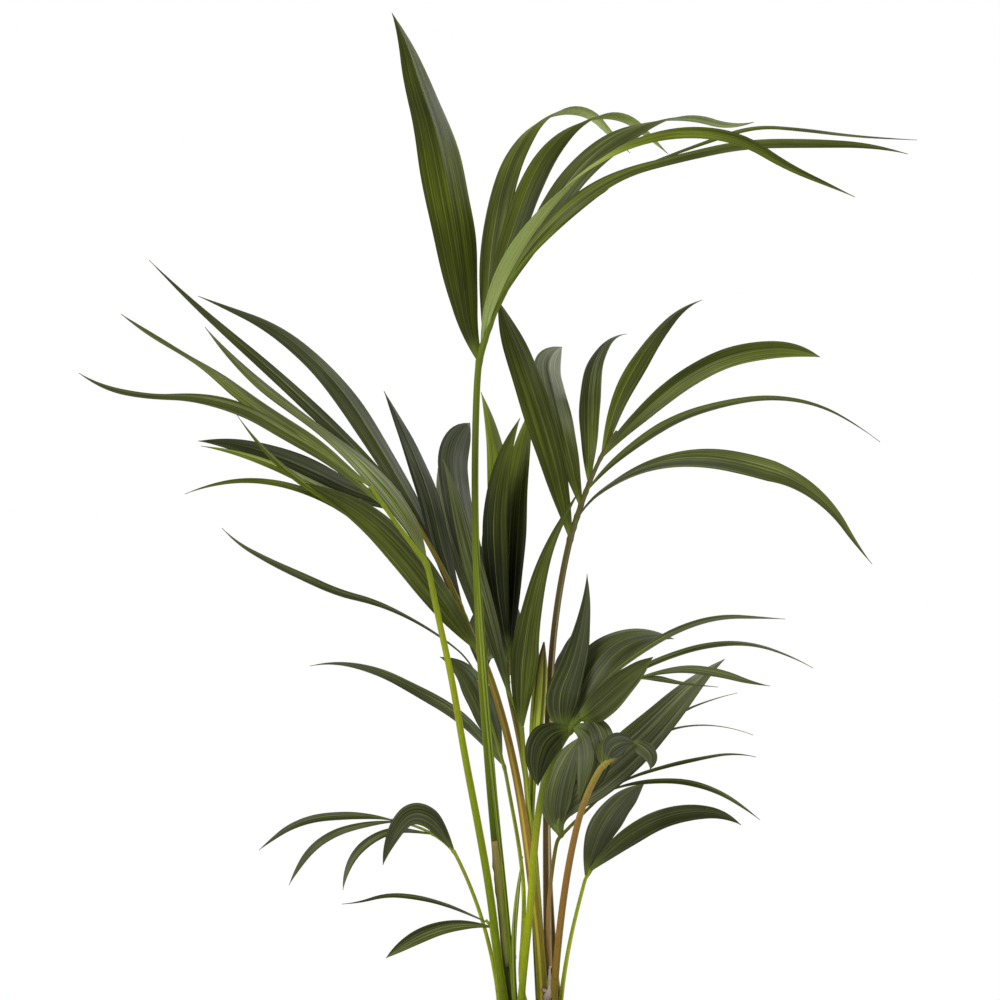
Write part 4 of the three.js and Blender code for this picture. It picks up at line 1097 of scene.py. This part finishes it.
# Each piece has a name, a slot, what limb_skin needs, and what strip needs for each strip
STRIP_PIECES = (
    ("sheath_top", "petiole_green",
     ("skin_sheath_top", [(108, 116, 48), (124, 128, 60), (124, 126, 54), (130, 126, 62), (146, 126, 78)],
      (70, 78, 40), 0.3, 0.6, 0.4),
     [((-22, 228), (-35.5, 354), [96, 97], [9, 12, 18], [7, 9.5, 9.5, 9.5, 9.5, 9.5, 7.5], 0.4)]),
    ("sheath_papery", "petiole_brown",
     ("skin_papery", [(120, 96, 82), (176, 156, 142), (196, 180, 166)], (206, 190, 176), 0.4, 0.7, 0.5),
     [((13, 190), (20, 214), [60, 80, 100], [12, 15, 13], [8, 9, 6, 1], 0.4),
      ((19, 188), (20, 229), [88, 92], [10, 11, 9], [7, 7, 5, 2], 0.5),
      ((11, 206), (19, 202), [350, 340], [14, 15], [2, 5, 4, 1], 0.4)]),
    ("bracts_dark", "petiole_brown",
     ("skin_bracts", [(48, 34, 26), (66, 48, 36)], (84, 62, 46), 0.3, 0.7, 0.3),
     [((22, 216), (26, 233), [80, 70, 40], [9, 10], [4, 5, 3, 0.6], 0.4),
      ((24, 200), (25, 219), [90, 95], [8, 9], [4, 5, 3, 0.6], 0.4)]),
    ("bract_small", "new_leaf",
     ("skin_bract_small", [(126, 140, 60), (120, 110, 60)], (150, 150, 90), 0.3, 0.6, 0.4),
     [((-15, 236), (-18, 255), [100, 104], [19, 20], [3, 4, 3, 0.8], 0.4)]),
)
seed = 300
for name, slot, skin, strips in STRIP_PIECES:
    made = []
    for numbers in strips:
        seed += 1
        made.append(strip(*numbers, seed))
    make_piece(name, made, [limb_skin(*skin)], [])

# %% [markdown]
# ## Stems
#
# The three stems are short and thick, ringed where old leaves fell off and clad in brown
# fibre. A plain turned shape would be too smooth, so the radius also depends on the angle:
# rings across, fibres lengthwise and a few broad bulges, all sums of sines. The stem is cut
# flat at the compost, and its top closes in a low dome between the petioles.

# %% Turned surfaces
POT_HEIGHT = 165.0
POT_TOP_RADIUS = 95.0
POT_BASE_RADIUS = 70.0
POT_WALL = 2.4
POT_FLOOR = 3.5
SOIL_LEVEL = 150.0


def pot_radius(height):
    """Outside radius of the pot's tapered wall at a height."""
    return POT_BASE_RADIUS + (POT_TOP_RADIUS - POT_BASE_RADIUS) * height / POT_HEIGHT


def turned_shape(profile, sides, centre=(0, 0), swell=None):
    """A profile of radius and height, carried round an upright axis. Swell, if given, changes
    each radius by a share that depends on the angle and the height."""
    profile = np.asarray(profile, float)
    angle = np.linspace(0, 2 * np.pi, sides, endpoint=False)[None, :]
    radius = profile[:, :1] * np.ones_like(angle)
    height = profile[:, 1:] * np.ones_like(angle)
    if swell is not None:
        radius = radius * (1 + swell(angle, height))
    grid = np.stack([centre[0] + radius * np.cos(angle), centre[1] + radius * np.sin(angle), height], -1)
    return surface(grid)


def waves(count, low, high, seed):
    """A bumpy height field: the sum of plane waves with random directions and starts, whose
    lengths lie between low and high millimetres. It runs from about -1 to 1."""
    chance = np.random.default_rng(seed)
    lengths = chance.uniform(low, high, count)
    turns = chance.uniform(0, 2 * np.pi, count)
    starts = chance.uniform(0, 2 * np.pi, count)

    def height(x, y):
        total = 0
        for length, turn, start in zip(lengths, turns, starts):
            total = total + np.sin((x * np.cos(turn) + y * np.sin(turn)) * 2 * np.pi / length + start)
        return total / math.sqrt(count) / 1.5

    return height


print("radius of the pot at the compost:", round(pot_radius(SOIL_LEVEL), 1), "mm")


# %% Stem bark
def bark(name):
    """Brown fibre: dark and light streaks that run up the stem, in broad patches."""
    material, tree, shader = new_material(name)
    where = object_place(tree)
    fibres = grain(tree, where, (700, 700, 26), 4.0, 0.65)
    patches = grain(tree, where, (90, 90, 60), 3.0, 0.6)
    both = mixed(tree, fibres, patches, 0.6)
    colour = ramp(tree, both, (0.3, (46, 34, 24)), (0.5, (92, 70, 46)), (0.72, (150, 124, 88)))
    rough = fade(tree, fibres, 0.2, 0.8, 0.7, 0.95)
    finish_shader(tree, shader, colour, rough, 0.3, fibres, depth=0.0008, strength=0.8)
    return material


# Where each stem stands, with its depth towards the viewer, and its radius
STEMS = {"stem_left": ((-25, -2), 16), "stem_middle": ((-6, 25), 10.5), "stem_right": ((20, -2), 17)}
STEM_LOW = SOIL_LEVEL + CLEARANCE
STEM_ROWS, STEM_SIDES, DOME_ROWS, DOME_HEIGHT = 44, 96, 9, 3
FLARE = 0.18
RING_SPACING = 7.5
stem_bark = bark("stem_bark")
for count, (name, ((x, depth), radius)) in enumerate(STEMS.items()):
    share = np.linspace(0, 1, STEM_ROWS)
    side = np.stack([radius * (1 + FLARE * (1 - share) ** 2.2), STEM_LOW + (STEM_TOP - STEM_LOW) * share], 1)
    # The dome is most of a quarter circle, pressed flat
    over = np.linspace(0.12, np.pi / 2 - 0.06, DOME_ROWS)
    dome = np.stack([radius * np.cos(over), STEM_TOP + DOME_HEIGHT * np.sin(over)], 1)
    bumps = waves(12, 0.5, 2.2, 40 + count)

    def swell(angle, height):
        """Rings, two sets of slanting fibres and low bumps, all of which start at the foot."""
        rings = 0.045 * np.cos((height - STEM_LOW) * 2 * np.pi / RING_SPACING) ** 8
        fibre = 0.022 * np.sin(31 * angle + 0.35 * height) + 0.018 * np.sin(17 * angle - 0.2 * height)
        rise = np.clip((height - STEM_LOW) / 3, 0, 1)
        return rise * (rings + fibre + 0.03 * bumps(angle, height / 12)) - 0.03

    profile = np.concatenate([[[radius * 0.5, STEM_LOW]], side, dome])
    shape = turned_shape(profile, STEM_SIDES, (x, -depth), swell)
    make_piece(f"bark_{name}", [shape], [stem_bark], [name])

# %% [markdown]
# ## Sheaths on the stems
#
# Dry pointed sheaths, left by older leaves, hug each stem. Each could be one of the strips
# above, but it bends round the stem, so it is a small grid in angle and height instead: six
# to a stem, each as wide as its angle and as tall as chance says.

# %% Sheaths on the stems
SHEATHS_EACH, SHEATH_ROWS, SHEATH_COLUMNS = 6, 15, 9
# Half the angle that a sheath covers, in radians
SHEATH_ANGLE = 0.42
stem_sheaths = []
chance = np.random.default_rng(9)
for count, ((x, depth), radius) in enumerate(STEMS.values()):
    for turn in np.linspace(0, 2 * np.pi, SHEATHS_EACH, endpoint=False) + 0.5 * count:
        reach = radius * 1.06
        angle, face = there_and_back(np.linspace(-SHEATH_ANGLE, SHEATH_ANGLE, SHEATH_COLUMNS) + turn)
        t = np.linspace(0, 1, SHEATH_ROWS)[:, None]
        narrow = np.clip(1.05 - t**2.5, 0.06, 1) * chance.uniform(0.85, 1.1, (SHEATH_ROWS, 1))
        spread = turn + (angle - turn) * narrow
        thick = face * 0.5 * np.sqrt(np.maximum(1 - ((angle - turn) / SHEATH_ANGLE) ** 2, 0))
        out = reach * (1 - 0.05 * t) + thick + 0.4
        level = SOIL_LEVEL + 12 + t * (chance.uniform(2, 16) + 14) + np.zeros_like(angle)
        grid = np.stack([x + out * np.cos(spread), -depth + out * np.sin(spread), level], -1)
        stem_sheaths.append(surface(grid))
make_piece("sheaths_on_stems", stem_sheaths, [bark("sheath_fibre")], [])

# %% [markdown]
# ## Compost
#
# The pot is filled to a finger below its rim with dark, crumbly compost. It is one closed
# turned shape whose top is a height field: broad mounds and small lumps from summed waves.
# Loose crumbs lie on it, each a lumpy bead of a few dozen faces, because a bump in the
# material alone would leave the surface flat at its edge.

# %% Compost surface and crumbs
SOIL_INNER = pot_radius(SOIL_LEVEL) - POT_WALL - 0.6
SOIL_FOOT = POT_BASE_RADIUS - POT_WALL
SOIL_SIDES, CRUMBS, CRUMBS_REACH = 180, 420, 88
mounds = waves(9, 30, 80, 3)
lumps = waves(30, 4, 11, 4)


def soil_height(x, y):
    """Broad mounds and small lumps, smoothed down where they meet the pot."""
    edge = np.clip((SOIL_INNER - np.hypot(x, y)) / 12, 0, 1)
    return SOIL_LEVEL - 0.6 + (1.6 * mounds(x, y) + 0.9 * lumps(x, y)) * edge


def compost_finish():
    """Dark brown with rusty and pale fibres in it, rough all over."""
    material, tree, shader = new_material("compost_finish")
    where = object_place(tree)
    coarse = grain(tree, where, (260, 260, 260), 6.0, 0.7)
    fine = grain(tree, where, (900, 500, 700), 4.0, 0.7)
    colour = ramp(tree, coarse, (0.3, (22, 15, 10)), (0.5, (48, 34, 24)), (0.68, (84, 62, 42)))
    colour = blend(tree, fade(tree, fine, 0.64, 0.72, 0.0, 0.6), colour, screen(136, 112, 82))
    rough = fade(tree, fine, 0.3, 0.7, 0.85, 1.0)
    finish_shader(tree, shader, colour, rough, 0.2, coarse, depth=0.0015, strength=0.9)
    return material


# Under the compost, up along the pot's wall, and in over the top to the middle
rows = [(SOIL_FOOT * 0.4, POT_FLOOR + CLEARANCE), (SOIL_FOOT, POT_FLOOR + CLEARANCE)]
rows += [(SOIL_FOOT + (SOIL_INNER - SOIL_FOOT) * k, 4 + (SOIL_LEVEL - 5) * k) for k in np.linspace(0.1, 1, 8)]
rows += [(r, SOIL_LEVEL) for r in np.linspace(SOIL_INNER, 0.6, 72)]
compost = turned_shape(rows, SOIL_SIDES)
place = compost["points"] / METRE
top = place[:, 2] > SOIL_LEVEL - 0.5
place[top, 2] = soil_height(place[top, 0], place[top, 1])
compost["points"] = place * METRE

chance = np.random.default_rng(12)
surfaces = [compost]
# A round bead without its poles, which each crumb takes at its own size and roughness
up = np.linspace(-1.2, 1.2, 6)[:, None]
around = np.linspace(0, 2 * np.pi, 8, endpoint=False)[None, :]
ball = np.stack(np.broadcast_arrays(np.cos(up) * np.cos(around), np.cos(up) * np.sin(around), np.sin(up)), -1)
for _ in range(CRUMBS):
    reach = CRUMBS_REACH * math.sqrt(chance.uniform(0.0, 0.97))
    turn = chance.uniform(0, 2 * np.pi)
    x, y = reach * math.cos(turn), reach * math.sin(turn)
    size = chance.uniform(0.7, 2.6) * np.array([chance.uniform(0.8, 1.5), chance.uniform(0.8, 1.4), 0.8])
    rough = 1 + 0.16 * chance.standard_normal(ball.shape[:2])
    crumb = ball * rough[..., None] * size
    surfaces.append(surface(crumb + [x, y, float(soil_height(x, y)) + 0.5 * size[2]]))
make_piece("compost", surfaces, [compost_finish()], ["soil"])

# %% [markdown]
# ## The pot
#
# A plain round pot: tapered wall, rolled rim, a small foot and drain holes. The wall is one
# profile carried round the axis, from the middle of its underside, up the outside, over the
# rim and down the inside. Its corners are rounded by cutting each one with a short curve.
# The drain holes are cut by a Boolean, which is applied, so that the mesh itself has them.


# %% Pot profile
CURVE_POINTS = 7


def rounded(corners, radii):
    """A profile whose corners are replaced by quadratic curves. Each starts and ends at its
    radius from the corner, along the two straight runs that meet there."""
    corners = np.asarray(corners, float)
    made = [corners[0]]
    for before, corner, after, radius in zip(corners, corners[1:], corners[2:], radii):
        start = corner + (before - corner) / np.linalg.norm(before - corner) * radius
        end = corner + (after - corner) / np.linalg.norm(after - corner) * radius
        for u in np.linspace(0, 1, CURVE_POINTS):
            made.append((1 - u) ** 2 * start + 2 * u * (1 - u) * corner + u**2 * end)
    return np.array([*made, corners[-1]])


DUST = screen(128, 120, 106)


def pot_finish():
    """Matte dark plastic: a fine moulded grain, faint turning lines and a little pale dust
    towards the foot."""
    material, tree, shader = new_material("pot_finish")
    where = object_place(tree)
    height = node(tree, "SeparateXYZ", where).outputs[2]
    fine = grain(tree, where, (2400, 2400, 2400), 2.0, 0.5)
    broad = grain(tree, where, (30, 30, 14), 4.0, 0.6)
    lines = grain(tree, where, (4, 4, 1400), 2.0, 0.5)
    colour = ramp(tree, broad, (0.3, (40, 41, 40)), (0.7, (58, 59, 57)))
    dust = maths(tree, "MULTIPLY", fade(tree, broad, 0.4, 0.7), fade(tree, height, 0.0, 0.07, 0.3, 0.05))
    colour = blend(tree, dust, colour, DUST)
    rough = nudged(tree, 0.6, broad, 0.3)
    relief = mixed(tree, fine, lines, 0.6)
    finish_shader(tree, shader, colour, rough, 0.4, relief, depth=0.0002, strength=0.35)
    return material


RIM = POT_TOP_RADIUS + 5
RIM_FOOT = POT_HEIGHT - 16
POT_SIDES = 160
# Corners of radius and height, from the middle of the underside, up the outside and down the
# inside, and how much each one between the ends is rounded
CORNERS = [
    (12, 1.2), (50, 1.2), (54, 0), (POT_BASE_RADIUS, 0), (pot_radius(RIM_FOOT), RIM_FOOT),
    (RIM, RIM_FOOT), (RIM, POT_HEIGHT), (POT_TOP_RADIUS - POT_WALL, POT_HEIGHT),
    (pot_radius(POT_FLOOR) - POT_WALL, POT_FLOOR), (12, POT_FLOOR),
]
profile = rounded(CORNERS, [1, 1, 2.5, 1.5, 1.2, 3, 1.5, 2])
pot = make_piece("grower_pot", [turned_shape(profile, POT_SIDES)], [pot_finish()], ["pot"])


# %% Drain holes
def plain_object(name, surfaces):
    """An object with flat faces that is no piece of the palm, such as a cutter or the floor."""
    points = []
    faces = []
    for s in surfaces:
        faces += [(face + len(points)).tolist() for face in [*s["quads"], *s["caps"]]]
        points += s["points"].tolist()
    mesh = bpy.data.meshes.new(name)
    mesh.from_pydata(points, [], faces)
    made = bpy.data.objects.new(name, mesh)
    scene.collection.objects.link(made)
    return made


HOLES, HOLE_SIDES, HOLE_RADIUS, HOLES_REACH = 6, 32, 5.0, 48
pin = [(HOLE_RADIUS, -4.0), (HOLE_RADIUS, 8.0)]
pins = []
for turn in np.linspace(0, 2 * np.pi, HOLES, endpoint=False):
    pins.append(turned_shape(pin, HOLE_SIDES, (HOLES_REACH * math.cos(turn), HOLES_REACH * math.sin(turn))))
cutter = plain_object("drain_cutter", pins)
cut = pot.modifiers.new("drain_holes", "BOOLEAN")
cut.operation = "DIFFERENCE"
cut.solver = "EXACT"
cut.object = cutter
ready = bpy.context.evaluated_depsgraph_get()
cut_mesh = bpy.data.meshes.new_from_object(pot.evaluated_get(ready))
pot.modifiers.clear()
pot.data = cut_mesh
bpy.data.objects.remove(cutter)
print("pot after the cut:", len(cut_mesh.polygons), "faces")

# %% [markdown]
# ## Floor
#
# The pot stands on a pale round floor with a softly rounded edge. It is small enough to stay
# under the camera's frame.


# %% Make the floor
def floor_finish():
    """Near white with the faintest cloudiness."""
    material, tree, shader = new_material("floor_finish")
    where = object_place(tree)
    cloud = grain(tree, where, (2, 2, 2), 2.0, 0.5)
    colour = ramp(tree, cloud, (0.3, (226, 226, 223)), (0.7, (233, 233, 231)))
    finish_shader(tree, shader, colour, fade(tree, cloud, 0.2, 0.8, 0.8, 0.9), gloss=0.2)
    return material


FLOOR_RADIUS, FLOOR_SIDES = 1448, 256
floor_profile = [(200, -14), (1440, -14), (FLOOR_RADIUS, -8), (1446, -2), (1436, 0), (200, 0)]
floor = plain_object("floor", [turned_shape(floor_profile, FLOOR_SIDES)])
floor.data.materials.append(floor_finish())
print("floor radius", FLOOR_RADIUS * METRE)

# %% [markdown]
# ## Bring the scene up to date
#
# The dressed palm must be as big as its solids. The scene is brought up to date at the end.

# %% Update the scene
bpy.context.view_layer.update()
